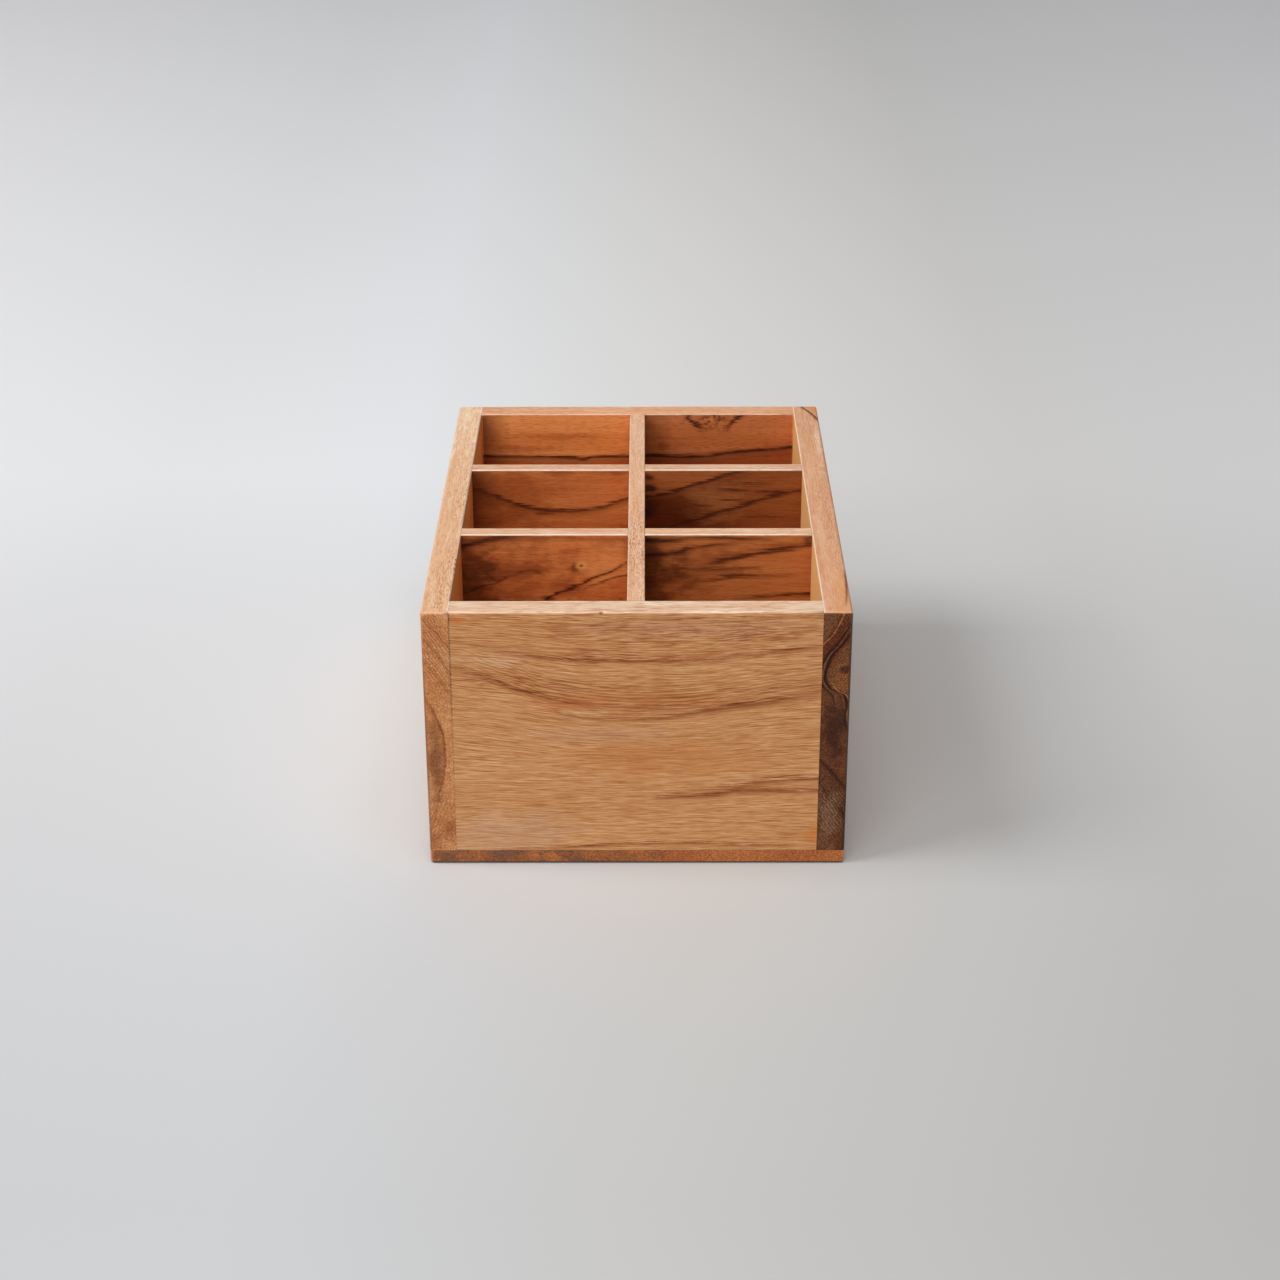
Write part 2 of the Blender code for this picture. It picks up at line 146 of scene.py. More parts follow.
paper_bm = bmesh.new()
ends = [paper_bm.verts.new((-FLOOR_REACH, y, 0.0)) for y in (-FLOOR_REACH, FLOOR_BACK)]
paper_bm.edges.new(ends)
bend = bmesh.ops.spin(paper_bm, geom=[ends[1]], cent=(-FLOOR_REACH, FLOOR_BACK, FLOOR_CURVE),
                      axis=(1, 0, 0), angle=math.pi / 2, steps=CURVE_STEPS)
last = [v for v in bend["geom_last"] if isinstance(v, bmesh.types.BMVert)]
rise = bmesh.ops.extrude_vert_indiv(paper_bm, verts=last)
bmesh.ops.translate(paper_bm, verts=rise["verts"], vec=(0, 0, FLOOR_REACH))
sheet = bmesh.ops.extrude_edge_only(paper_bm, edges=paper_bm.edges[:])
bmesh.ops.translate(paper_bm, verts=[v for v in sheet["geom"] if isinstance(v, bmesh.types.BMVert)],
                    vec=(2 * FLOOR_REACH, 0, 0))
bmesh.ops.recalc_face_normals(paper_bm, faces=paper_bm.faces[:])
for face in paper_bm.faces:
    face.smooth = True
paper_data = bpy.data.meshes.new("paper_floor")
paper_bm.to_mesh(paper_data)
paper_bm.free()
paper_floor = bpy.data.objects.new("paper_floor", paper_data)
COLLECTION.objects.link(paper_floor)

# Matt paper has no gloss. Its tone is painted light and shade: a little lighter behind the box and darker to
# the right.
paper, tree = start_material("matt_white_paper")
place = add(tree, "SeparateXYZ", add(tree, "TexCoord", output=3)).node.outputs
light_sideways = tones_between(tree, place[0], FLOOR_LIGHT_SIDEWAYS)
light_backward = tones_between(tree, place[1], FLOOR_LIGHT_BACKWARD)
tone = add(tree, "Mix", output=2, where={0: 1.0, 6: light_sideways, 7: light_backward}, data_type="RGBA",
           blend_type="MULTIPLY")
surface = add(tree, "BsdfPrincipled", where={"Base Color": tone, "Roughness": 0.9,
                                             "Specular IOR Level": 0.15})
add(tree, "OutputMaterial", surface)
paper_data.materials.append(paper)

for name, towards, side, power in LAMPS:
    lamp_data = bpy.data.lights.new(name, "AREA")
    lamp_data.shape = "SQUARE"
    lamp_data.size = side
    lamp_data.energy = power
    lamp = bpy.data.objects.new(name, lamp_data)
    lamp.location = towards.normalized() * LAMP_DISTANCE
    lamp.rotation_euler = towards.to_track_quat("Z", "Y").to_euler()
    COLLECTION.objects.link(lamp)

room = bpy.data.worlds.new("pale_room")
room.use_nodes = True
room.node_tree.nodes["Background"].inputs["Color"].default_value = shade("#FFFFFF")
room.node_tree.nodes["Background"].inputs["Strength"].default_value = ROOM_STRENGTH
bpy.context.scene.world = room

# Left side: one 10 mm teak board, the full depth of the box, planed, sanded and oiled. Its
# grain runs from front to back, so its end grain shows at the front. Two stopped housings in
# its inner face take the cross dividers, and six dowels pin it to the front and back panels.
JOINT_LINE = 0.06 * MM
FIT = 0.05 * MM
HOLE_SLACK = 0.15 * MM
ARRIS = 0.9 * MM
INNER_ARRIS = 0.45 * MM
HOUSING_STOP = 10.0 * MM
STATION = 9.0 * MM
SANDING_WAVER = 0.12 * MM
WAVER_LENGTH = 14.0 * MM
WAVER_SHARE = 0.4
TOUCH = 0.001 * MM
ROUND_SIDES = 24
MOUTH_SQUARE = 1.4
CELL_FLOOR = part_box("bottom_board")[1].z
FOOT = CELL_FLOOR + JOINT_LINE
TOP = cad_high.z
DOWELS = sorted(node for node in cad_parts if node.startswith("dowel_"))
SCREWS = sorted(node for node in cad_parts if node.startswith("screw_"))
THREAD_RADIUS = 1.25 * MM


def block(low, high):
    """A plain block between two corners."""
    bm = bmesh.new()
    bmesh.ops.create_cube(bm, size=1.0)
    stretch = Matrix.Diagonal((*(high - low), 1.0))
    bmesh.ops.transform(bm, matrix=Matrix.Translation((low + high) / 2) @ stretch, verts=bm.verts[:])
    return bm


def score(bm, axis, places, faces=None):
    """Scores the board, or only the faces given, where planes across an axis meet it."""
    normal = Vector([float(i == axis) for i in range(3)])
    for at in places:
        parts = bm.verts[:] + bm.edges[:] + bm.faces[:]
        if faces is not None:
            parts = list({part for face in faces for part in (face, *face.edges, *face.verts)})
        made = bmesh.ops.bisect_plane(bm, geom=parts, dist=TOUCH, plane_co=normal * at,
                                      plane_no=normal)
        if faces is not None:
            faces = [part for part in made["geom"] if isinstance(part, bmesh.types.BMFace)]
    return faces


def lies_on(item, planes):
    """Whether every corner of a face or edge lies on the planes, each an axis and a place."""
    return all(abs(v.co[axis] - at) < TOUCH for v in item.verts for axis, at in planes)


def push(bm, faces, move):
    """Extrudes faces and takes the old ones away."""
    grown = bmesh.ops.extrude_face_region(bm, geom=faces)
    bmesh.ops.translate(bm, verts=[v for v in grown["geom"] if isinstance(v, bmesh.types.BMVert)],
                        vec=move)
    left = [face for face in faces if face.is_valid]
    if left:
        bmesh.ops.delete(bm, geom=left, context="FACES")


def bore(bm, mouth, axis, outward, steps):
    """Bores a round hole in from the face at mouth, by steps of radius and depth, out of a square
    that is scored round it."""
    flat = [i for i in range(3) if i != axis]
    half = steps[0][0] * MOUTH_SQUARE
    target = next(face for face in bm.faces if lies_on(face, [(axis, mouth[axis])])
                  and all(min(v.co[i] for v in face.verts) < mouth[i] < max(v.co[i] for v in face.verts)
                          for i in flat))
    cut = [target]
    for i in flat:
        cut = score(bm, i, (mouth[i] - half, mouth[i] + half), cut)
    end = min(cut, key=lambda face: (face.calc_center_median() - mouth).length)
    bmesh.ops.subdivide_edges(bm, edges=end.edges[:], cuts=ROUND_SIDES // 4 - 1)
    bmesh.ops.inset_region(bm, faces=[end], thickness=half * 0.1)
    for number, (radius, depth) in enumerate(steps):
        if number:
            before = set(bm.faces)
            end = bmesh.ops.extrude_discrete_faces(bm, faces=[end])["faces"][0]
            for face in set(bm.faces) - before:
                face.smooth = face is not end
        for v in end.verts:
            off = v.co - mouth
            slice_angle = 2 * math.pi / ROUND_SIDES
            angle = round(math.atan2(off[flat[1]], off[flat[0]]) / slice_angle) * slice_angle
            v.co[flat[0]] = mouth[flat[0]] + radius * math.cos(angle)
            v.co[flat[1]] = mouth[flat[1]] + radius * math.sin(angle)
            v.co[axis] = mouth[axis] - outward * depth
    return end


def bore_dowel_holes(bm, side, outward, face_at, low, high):
    """Bores a board for the dowels of one side that lie within it."""
    for node in DOWELS:
        near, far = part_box(node)
        spot = (near + far) / 2
        if f"_{side}_" in node and low.y < spot.y < high.y:
            radius = (far.y - near.y) / 2 + HOLE_SLACK
            depth = HOLE_SLACK + (face_at - near.x if outward > 0 else far.x - face_at)
            bore(bm, Vector((face_at, spot.y, spot.z)), 0, outward, ((radius, 0.0), (radius, depth)))


def bore_screw_holes(bm, low, high):
    """Bores a wall's foot for the screws that come up under it."""
    for node in SCREWS:
        near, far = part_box(node)
        spot = (near + far) / 2
        if low.x < spot.x < high.x and low.y < spot.y < high.y:
            radius = THREAD_RADIUS + HOLE_SLACK
            bore(bm, Vector((spot.x, spot.y, low.z)), 2, -1,
                 ((radius, 0.0), (radius, far.z - low.z + HOLE_SLACK)))


def score_stations(bm, run, low, high):
    """Scores a board at even stations along its run, so that its edges can waver."""
    count = round((high[run] - low[run]) / STATION)
    score(bm, run, [low[run] + (high[run] - low[run]) * k / count for k in range(1, count)])


def ease(bm, edges, width, segments=4):
    """Rounds edges over as hand sanding does."""
    made = bmesh.ops.bevel(bm, geom=edges, offset=width, offset_type="OFFSET", segments=segments,
                           profile=0.5, affect="EDGES", material=-1, clamp_overlap=True)
    for face in made["faces"]:
        face.smooth = True


def waver_edges(bm, low, high, seed):
    """Lets the rounded edges waver a little inwards, as a sanding block leaves them."""
    for v in bm.verts:
        inset = [min(v.co[i] - low[i], high[i] - v.co[i]) for i in range(3)]
        near = [i for i in range(3) if inset[i] < ARRIS]
        if len(near) > 1 and all(inset[i] > TOUCH for i in near):
            amount = max(noise.noise(v.co / WAVER_LENGTH + Vector((seed, 0, 0))) + WAVER_SHARE, 0.0)
            for i in near:
                towards = math.copysign(1.0, (low[i] + high[i]) / 2 - v.co[i])
                v.co[i] += towards * amount * SANDING_WAVER


def housed_wall(low, high, run, inner, depth, grooves):
    """A wall along the run axis, with stopped housings in its inner face, open at the foot."""
    thick = 1 - run
    stop = TOP - HOUSING_STOP
    bm = block(Vector((low.x, low.y, stop)), high)
    groove_floor = inner + math.copysign(depth, (low[thick] + high[thick]) / 2 - inner)
    score(bm, thick, [groove_floor])
    score(bm, run, [side for groove in grooves for side in groove])
    lower = []
    for face in bm.faces:
        centre = face.calc_center_median()
        housed = any(a < centre[run] < b for a, b in grooves)
        housed = housed and (centre[thick] - groove_floor) * (inner - groove_floor) > 0
        if lies_on(face, [(2, stop)]) and not housed:
            lower.append(face)
    push(bm, lower, (0.0, 0.0, low.z - stop))
    return bm


def side_board(side, seed):
    """A side board: housings, holes and eased edges."""
    low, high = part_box(side + "_side")
    low.z = FOOT
    inner, outer, facing = (high.x, low.x, 1) if side == "left" else (low.x, high.x, -1)
    crosses = [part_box(node) for node in ("front_cross_divider", "rear_cross_divider")]
    grooves = [(near.y - FIT, far.y + FIT) for near, far in crosses]
    tongue_end = crosses[0][0 if side == "left" else 1].x
    bm = housed_wall(low, high, 1, inner, abs(tongue_end - inner) + HOLE_SLACK, grooves)
    between = (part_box("front_panel")[1].y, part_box("back_panel")[0].y)
    score(bm, 1, between)
    bore_dowel_holes(bm, side, facing, inner, low, high)
    bore_screw_holes(bm, low, high)
    score_stations(bm, 1, low, high)
    outside = (((0, outer), (2, TOP)), ((1, low.y), (2, TOP)), ((1, high.y), (2, TOP)),
               ((0, outer), (1, low.y)), ((0, outer), (1, high.y)))
    ease(bm, [e for e in bm.edges if any(lies_on(e, line) for line in outside)], ARRIS)
    ease(bm, [e for e in bm.edges if lies_on(e, ((0, inner), (2, TOP)))
              and all(between[0] - TOUCH < v.co.y < between[1] + TOUCH for v in e.verts)],
         INNER_ARRIS, 3)
    waver_edges(bm, low, high, seed)
    return bm


def place_board(node, bm, material):
    """Makes the board's object, which stands for its solid in the frame."""
    bmesh.ops.recalc_face_normals(bm, faces=bm.faces[:])
    open_edges = [edge for edge in bm.edges if len(edge.link_faces) != 2]
    if open_edges:
        raise RuntimeError(f"{node} has {len(open_edges)} open edges")
    data = bpy.data.meshes.new(node + "_teak")
    bm.to_mesh(data)
    bm.free()
    data.materials.append(material)
    piece = bpy.data.objects.new(node + "_teak", data)
    COLLECTION.objects.link(piece)
    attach(piece, "root")
    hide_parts(node)


# Oiled teak: golden tan to dark brown heartwood, straight fibre and open pores. Sanding and a
# thin coat of oil leave a satin that is rougher in the pores. Grain sizes are in mm, along the
# grain, across it and through the board. Real fibre and pores are about half as wide: they are
# drawn this coarse to show.
FIBRE_SIZE = (7.0, 0.48, 0.55)
STREAK_SIZE = (40.0, 1.9, 3.0)
BAND_SIZE = (240.0, 16.0, 22.0)
CLOUD_SIZE = (11.0, 6.0, 6.0)
SPECK_SIZE = (2.0, 0.42, 0.42)
PORE_SIZE = (3.2, 0.40, 0.40)
PORE_ZONE_SIZE = (60.0, 7.0, 9.0)
TONE_STOPS = (0.0, 0.4, 0.7, 1.0)
WANDER_SIZE = (70.0, 15.0, 15.0)
WANDER = 1.6
END_DEPTH = 0.35
ARRIS_DEPTH = 0.7
FACE_SKIN = (0.3, 0.1)
UNDER_RIM = (0.2, 0.6)
# The rim's paler tone is partly sanding wear and partly painted sheen; its pale edges are partly wear and
# partly painted highlights.
RIM_DEPTH = 0.6
RIM_LIGHT_TURN = (-20.0, 90.0)
RIM_FIBRE = "#EAD4C4"
RIM_STREAK = "#EFD8C8"
EDGE_WIDTH = 0.55
PALE_EDGE = "#F6E4D0"
# Painted shade in the cells' corners: how far it reaches, how far it goes past the corner, and its tone.
CORNER_REACH = 12.0
CORNER_EDGE = 3.0
CORNER_SHADE = "#9C9692"
SATIN = 0.46
FIBRE_DULL = 0.10
PORE_DULL = 0.15
PORE_SUNK = -0.6
GRAIN_RELIEF = 0.12 * MM


def in_mm(tree):
    """The place on the object, in mm."""
    return add(tree, "Mapping", add(tree, "TexCoord", output=3), where={"Scale": (1 / MM,) * 3})


def pattern(tree, vector, size, detail, low, high, start=(0, 0, 0), rough=0.5):
    """Noise with grains of the given size, from 0 to 1 between two levels."""
    spread = add(tree, "Mapping", vector, where={"Scale": tuple(1 / s for s in size), "Location": start})
    made = add(tree, "TexNoise", where={"Vector": spread, "Scale": 1.0, "Detail": detail,
                                        "Roughness": rough})
    return add(tree, "MapRange", made, low, high)


class Teak:
    """One board's teak: its grain, its figure and its finish, with places in mm in the frame.

    The order names the axes along the grain, across it and through the board. A path is a row
    of points, each a place, a height and how strongly the figure shows there. A figure shows
    only where its mask, from 0 to 1, lets it. The tones run from dark to pale, and fibre, streak
    and band say how much each of these patterns moves the wood along them."""

    def __init__(self, node, order, tones, seed, fibre=0.5, streak=0.3, band=0.4, pore=PORE_SIZE,
                 sweep=None, fibre_size=FIBRE_SIZE, stops=TONE_STOPS):
        self.material, self.tree = start_material("oiled_teak_" + node)
        self.add = partial(add, self.tree)
        self.low, self.high = ([corner["XYZ".index(c)] / MM for c in order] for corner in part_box(node))
        self.seed = seed
        parts = self.add("SeparateXYZ", in_mm(self.tree)).node.outputs
        self.along, self.across, self.through = (parts["XYZ".index(c)] for c in order)
        self.at = self.add("CombineXYZ", self.along, self.across, self.through)
        wander = self.field(self.at, WANDER_SIZE, 2.0, 11.0)
        flow = self.add("Math", wander, WANDER, self.across, operation="MULTIPLY_ADD")
        if sweep:
            bend, share = sweep
            bent = self.add("Math", self.follow(self.along, bend, 1), self.follow(self.across, share, 1),
                            operation="MULTIPLY")
            flow = self.add("Math", flow, bent, operation="SUBTRACT")
        self.grain = self.add("CombineXYZ", self.along, flow, self.through)
        self.fibre = self.field(self.grain, fibre_size, 2.0, 1.0)
        self.streak = self.field(self.grain, STREAK_SIZE, 3.0, 2.0)
        self.cloud = self.field(self.grain, CLOUD_SIZE, 3.0, 6.0)
        wide = self.field(self.grain, BAND_SIZE, 1.0, 3.0)
        # Pores lie in zones, where they show up to twice as strongly.
        zone = self.field(self.grain, PORE_ZONE_SIZE, 1.0, 5.0)
        zone = self.add("Math", zone, 0.5, 0.55, operation="MULTIPLY_ADD")
        pores = self.field(self.grain, pore, 0.0, 4.0, 0.56, 0.64)
        self.pores = self.add("Math", pores, zone, operation="MULTIPLY")
        self.pore_amount = 0.0
        level = (1 - fibre - streak - band) / 2
        for part, share in ((self.fibre, fibre), (self.streak, streak), (wide, band)):
            level = self.add("Math", part, share, level, operation="MULTIPLY_ADD")
        self.colour = tones_between(self.tree, level, list(zip(tones, stops)))
        middle = (self.high[0] + self.low[0]) / 2
        half = (self.high[0] - self.low[0]) / 2
        off_middle = self.add("Math", self.along, middle, operation="SUBTRACT")
        off_middle = self.add("Math", off_middle, operation="ABSOLUTE")
        self.ends = self.add("MapRange", off_middle, half - END_DEPTH, half)
        self.end_arris = self.add("MapRange", off_middle, half - 2 * ARRIS_DEPTH, half - ARRIS_DEPTH)

    def field(self, vector, size, detail, shift, low=0.3, high=0.7):
        """A pattern of the board's own. Odd steps set each board's and each pattern's noise apart."""
        start = (self.seed * 17.3 + shift * 5.1, shift * 13.7, self.seed * 3.1)
        return pattern(self.tree, vector, size, detail, low, high, start, 0.6)

    def follow(self, run, path, part):
        """The height of a path over its run, part 1, or how strongly it shows, part 2."""
        first, last = path[0][0], path[-1][0]
        base = min(point[part] for point in path)
        span = max(point[part] for point in path) - base
        if not span:
            return base
        curve = self.add("FloatCurve", where={"Value": self.add("MapRange", run, first, last)})
        mapping = curve.node.mapping
        while len(mapping.curves[0].points) < len(path):
            mapping.curves[0].points.new(0.5, 0.5)
        for knot, point in zip(mapping.curves[0].points, path):
            knot.location = ((point[0] - first) / (last - first), (point[part] - base) / span)
            knot.handle_type = "AUTO_CLAMPED"
        mapping.update()
        return self.add("Math", curve, span, base, operation="MULTIPLY_ADD")

    def lay(self, code, *shares, stain=False):
        """Lays a tone over the colour so far, or stains it, which keeps its grain. How strongly
        is the product of the shares."""
        amount = shares[0]
        for share in shares[1:]:
            amount = self.add("Math", amount, share, operation="MULTIPLY")
        self.colour = self.add("Mix", output=2, where={0: amount, 6: self.colour, 7: shade(code)},
                               data_type="RGBA", blend_type="MULTIPLY" if stain else "MIX")

    def beyond(self, path, on, waver, ragged):
        """How far a place is beyond a path on the face, end or top, in mm, and how strongly the
        path shows there: one on the end shows nowhere else."""
        run, rise = {"face": (self.along, self.across), "end": (self.across, self.through),
                     "top": (self.along, self.through)}[on]
        off = self.add("Math", rise, self.follow(run, path, 1), operation="SUBTRACT")
        off = self.add("Math", self.streak, waver, off, operation="MULTIPLY_ADD")
        off = self.add("Math", self.fibre, ragged, off, operation="MULTIPLY_ADD")
        off = self.add("Math", off, (waver + ragged) / 2, operation="SUBTRACT")
        strength = self.follow(run, path, 2)
        if on == "end":
            strength = self.add("Math", strength, self.ends, operation="MULTIPLY")
        return off, strength

    def ring(self, path, core, above, below, dark="#B49E90", warm="#E6D0C0", on="face",
             waver=0.6, ragged=0.7, grit=0.7, mask=1.0):
        """A growth ring: a dark core that the fibre breaks, in a softer, warmer band."""
        off, strength = self.beyond(path, on, waver, ragged)
        for code, low, high, cut in ((warm, below, above, 0.0), (dark, core, core, grit)):
            onto = self.add("MapRange", off, -low, 0.0, interpolation_type="SMOOTHSTEP")
            away = self.add("MapRange", off, high, 0.0, interpolation_type="SMOOTHSTEP")
            broken = self.add("Math", self.fibre, -cut, 1 + cut / 2, operation="MULTIPLY_ADD")
            self.lay(code, onto, away, strength, broken, mask, stain=True)

    def layers(self, code, path, spacing, reach, on="face"):
        """Fine growth layers side by side along a path, which fade with the distance from it."""
        off, strength = self.beyond(path, on, spacing * 0.7, spacing * 0.3)
        wave = self.add("Math", off, 2 * math.pi / spacing, operation="MULTIPLY")
        wave = self.add("MapRange", self.add("Math", wave, operation="SINE"), -0.2, 1.0)
        far = self.add("Math", off, operation="ABSOLUTE")
        near = self.add("MapRange", far, reach, reach * 0.3, interpolation_type="SMOOTHSTEP")
        self.lay(code, wave, near, strength, stain=True)

    def side(self, code, path, soft, on="face", mask=1.0, stain=False):
        """Another tone beyond a path, or short of it where soft, its width in mm, is negative."""
        off, strength = self.beyond(path, on, 0.6, 0.3)
        step = self.add("MapRange", off, 0.0, soft, interpolation_type="SMOOTHSTEP")
        self.lay(code, step, strength, mask, stain=stain)

    def blot(self, centre, reach, waver=0.6):
        """From 1 at a point to 0 at its reach, with an uneven outline."""
        off = self.add("VectorMath", self.at, centre, operation="SUBTRACT")
        off = self.add("VectorMath", off, reach, operation="DIVIDE")
        far = self.add("VectorMath", off, output=1, operation="LENGTH")
        far = self.add("Math", self.cloud, waver, far, operation="MULTIPLY_ADD")
        return self.add("MapRange", far, 1.0 + waver / 2, 0.15 + waver / 2, interpolation_type="SMOOTHSTEP")

    def patch(self, code, centre, reach, amount, mask=1.0, waver=0.6, stain=False):
        """A soft patch of another tone."""
        self.lay(code, self.blot(centre, reach, waver), amount, mask, stain=stain)

    def regrain(self, mask, fibre_code, streak_code):
        """Brings the grain back where a tone covers it."""
        self.lay(fibre_code, mask, self.fibre, stain=True)
        self.lay(streak_code, mask, self.streak, stain=True)

    def specks(self, amount, mask):
        """Light and dark specks, as end grain shows where the fibres are cut across."""
        speck = self.field(self.grain, SPECK_SIZE, 1.0, 8.0, 0.37, 0.63)
        speck = self.add("Math", speck, amount, 1 - amount / 2, operation="MULTIPLY_ADD")
        scaled = self.add("VectorMath", self.colour, where={"Scale": speck}, operation="SCALE")
        self.colour = self.add("Mix", output=2, where={0: mask, 6: self.colour, 7: scaled},
                               data_type="RGBA")

    def dense(self, centre, reach, amount):
        """More open pores round a point."""
        self.pore_amount = self.add("Math", self.blot(centre, reach), amount, self.pore_amount,
                                    operation="MULTIPLY_ADD")

    def corner(self, at, amount=1.0, mask=1.0):
        """Paints shade into a corner, darkest where the board meets the wall and fading away from it."""
        near = self.add("MapRange", self.along, at + CORNER_REACH, at, 0.0, amount)
        inside = self.add("MapRange", self.along, at - CORNER_EDGE, at)
        self.lay(CORNER_SHADE, near, inside, mask, stain=True)

    def at_face(self, inner):
        """1 on the board's face on that side, 0 within it, on its rim and at its ends."""
        at, inward = (self.high[2], -1) if inner > 0 else (self.low[2], 1)
        near = self.add("MapRange", self.through, *(at + inward * depth for depth in FACE_SKIN))
        under = self.add("MapRange", self.across, *(TOP / MM - depth for depth in UNDER_RIM))
        near = self.add("Math", near, under, operation="MULTIPLY")
        return self.add("Math", near, self.add("MapRange", self.ends, 1.0, 0.0), operation="MULTIPLY")

    def wear_and_sheen_rim(self, code, amount=0.75, edges=(0.0, 0.0), far=None):
        """Makes the rim and its edges paler, and gives where the rim is. The paler rim is partly sanding
        wear and partly painted sheen, the pale edges are partly wear and partly painted highlights, and
        the far tone, laid more strongly towards the back, is painted light and shade along the rim.
        """
        top = TOP / MM
        rim = self.add("MapRange", self.across, top - RIM_DEPTH, top - RIM_DEPTH / 3)
        self.lay(code, rim, amount)
        if far:
            self.lay(far, rim, self.add("MapRange", self.along, *RIM_LIGHT_TURN))
        self.regrain(rim, RIM_FIBRE, RIM_STREAK)
        for at, inward, share in ((self.low[2], 1, edges[0]), (self.high[2], -1, edges[1])):
            near = self.add("MapRange", self.through, at + inward * EDGE_WIDTH, at + inward * EDGE_WIDTH / 3)
            self.lay(PALE_EDGE, near, rim, share)
        return rim

    def finish(self, pore_code="#B49A88", pore=0.6):
        """Opens the pores and lays the oil."""
        self.lay(pore_code, self.pores, self.add("Math", self.pore_amount, pore, operation="ADD"), stain=True)
        rough = self.add("Math", self.fibre, FIBRE_DULL, SATIN, operation="MULTIPLY_ADD")
        rough = self.add("Math", self.pores, PORE_DULL, rough, operation="MULTIPLY_ADD")
        height = self.add("Math", self.pores, PORE_SUNK, self.fibre, operation="MULTIPLY_ADD")
        bump = self.add("Bump", where={"Height": height, "Strength": 0.35, "Distance": GRAIN_RELIEF})
        surface = self.add("BsdfPrincipled", where={"Base Color": self.colour, "Roughness": rough,
                                                    "Specular IOR Level": 0.2, "Normal": bump})
        self.add("OutputMaterial", surface)
        return self.material


FRONT = cad_low.y / MM
END_REACH = 30.0
ARRIS_FADE = (0.9, 0.4)
SIDE_STOPS = (0.0, 0.45, 0.75, 1.0)
SIDE_PORE = (2.4, 0.34, 0.34)
teak = Teak("left_side", "YZX", ("#C9925F", "#DAA678", "#E6BC94", "#F0D0B0"), 1, 0.35, 0.45, 0.4, SIDE_PORE,
            stops=SIDE_STOPS)
end = teak.ends
teak.lay("#EED2B4", teak.at_face(-1), 0.35)
# The inner face is laid a bright, saturated orange: painted light, for the light bounced about inside the
# cells.
inside = teak.at_face(1)
teak.lay("#FFBC72", inside)
teak.regrain(inside, "#F4DECA", "#F4CEB0")
# The end grain, by height and then by x: a brown heart with a ring round it low down, and rings
# and fine layers that slant across the top.
teak.lay("#E7CCB1", end, stain=True)
teak.patch("#C07844", (FRONT, 44, -75.4), (END_REACH, 34, 3.4), 0.6, end)
for code, z, x, high, wide, amount, waver in (
        ("#C4B6AE", 43, -71.6, 24, 4.4, 1, 0.4), ("#CCC0BA", 42, -71.4, 20, 2.8, 0.5, 0.4),
        ("#DDC6AE", 18, -70, 16, 8, 0.5, 0.6), ("#CDBAAC", 13, -67, 9, 3.2, 0.6, 1.4),
        ("#CDBAAC", 9, -72.6, 7, 2.4, 0.6, 1.4)):
    teak.patch(code, (FRONT, z, x), (END_REACH, high, wide), amount, end, waver, True)
teak.ring(((8, -76, 0), (20, -72.4, 0.3), (29.8, -70.6, 0.5), (35.8, -69.1, 0.6), (42.6, -68.3, 0.7),
           (49.2, -68.3, 0.8), (55.9, -69.7, 0.7), (62.5, -72, 0.6), (70, -76, 0)), 0.7, 0.9, 2.4,
          "#C8B4A6", "#DDCABC", "end", 0.3, 0.3, 0.4)
for strength, path in ((0.35, ((84, -62.8), (87.8, -66.3), (92.8, -69.9), (100, -76.6))),
                       (0.45, ((74, -63), (77.7, -65.8), (84.2, -69.6), (92, -75.9))),
                       (0.3, ((66, -63.2), (69.1, -65.6), (75.6, -69.9), (83, -75.4)))):
    teak.ring([(z, x, strength) for z, x in path], 0.7, 1.8, 1.6, "#C4B0A2", "#DCC8B8", "end",
              0.4, 0.4, 0.4)
teak.layers("#D0BEAE", ((60, -56, 0), (70, -61, 0.7), (86, -71.6, 0.8), (100.5, -81.5, 0.8)),
            1.25, 16, "end")
teak.layers("#DCCCBE", ((6, -76, 0.5), (20, -71, 0.6), (34, -65, 0)), 1.4, 9, "end")
# Painted shade along the rounded corners of the outer face at the ends, strongest at middle heights.
arris = teak.add("MapRange", teak.through, *(teak.low[2] + depth for depth in ARRIS_FADE))
arris_shade = teak.follow(teak.across,
                        ((0, 0.3), (30, 0.45), (50, 0.75), (75, 0.75), (90, 0.45), (100.5, 0.35)), 1)
teak.lay("#8A4C28", arris, arris_shade, teak.end_arris)
teak.specks(0.52, end)
# The rim: open pores towards the front, and a few small chips along its inner edge.
teak.dense((-70, 100.5, -69), (46, 4, 6), 0.35)
teak.dense((20, 100.5, -67), (50, 4, 5), 0.3)
# The rim and its inner edge are paler, partly from sanding wear and partly as painted sheen and highlight,
# and painted light makes the rim paler towards the back.
teak.wear_and_sheen_rim("#FADAB6", edges=(0.15, 0.9), far="#FDE4C4")
for y, size in ((-71, 0.7), (-66, 1.5), (-61.5, 1), (-57.5, 0.8)):
    teak.patch("#96643F", (y, 100.3, -65.6), (size, 0.8, 0.6), 0.9, waver=0.5)
place_board("left_side", side_board("left", 3.0), teak.finish("#A07C66", 0.22))

# Right side: the same board on the other hand, a little thicker. Dark heartwood drinks the oil
# at its end, where a pale line and a loop of rings show, and runs along its outer face.
teak = Teak("right_side", "YZX", ("#C48A5E", "#D6A078", "#E2B592", "#EBC8AA"), 2, 0.35, 0.45, 0.4,
            SIDE_PORE, stops=SIDE_STOPS)
end = teak.ends
# The inner face is laid a paler orange than the rest of the board: painted light, for the light that falls on
# it across the cells.
inside = teak.at_face(-1)
teak.lay("#FFCC8A", inside)
teak.regrain(inside, "#FCF2E6", "#FEEFDA")
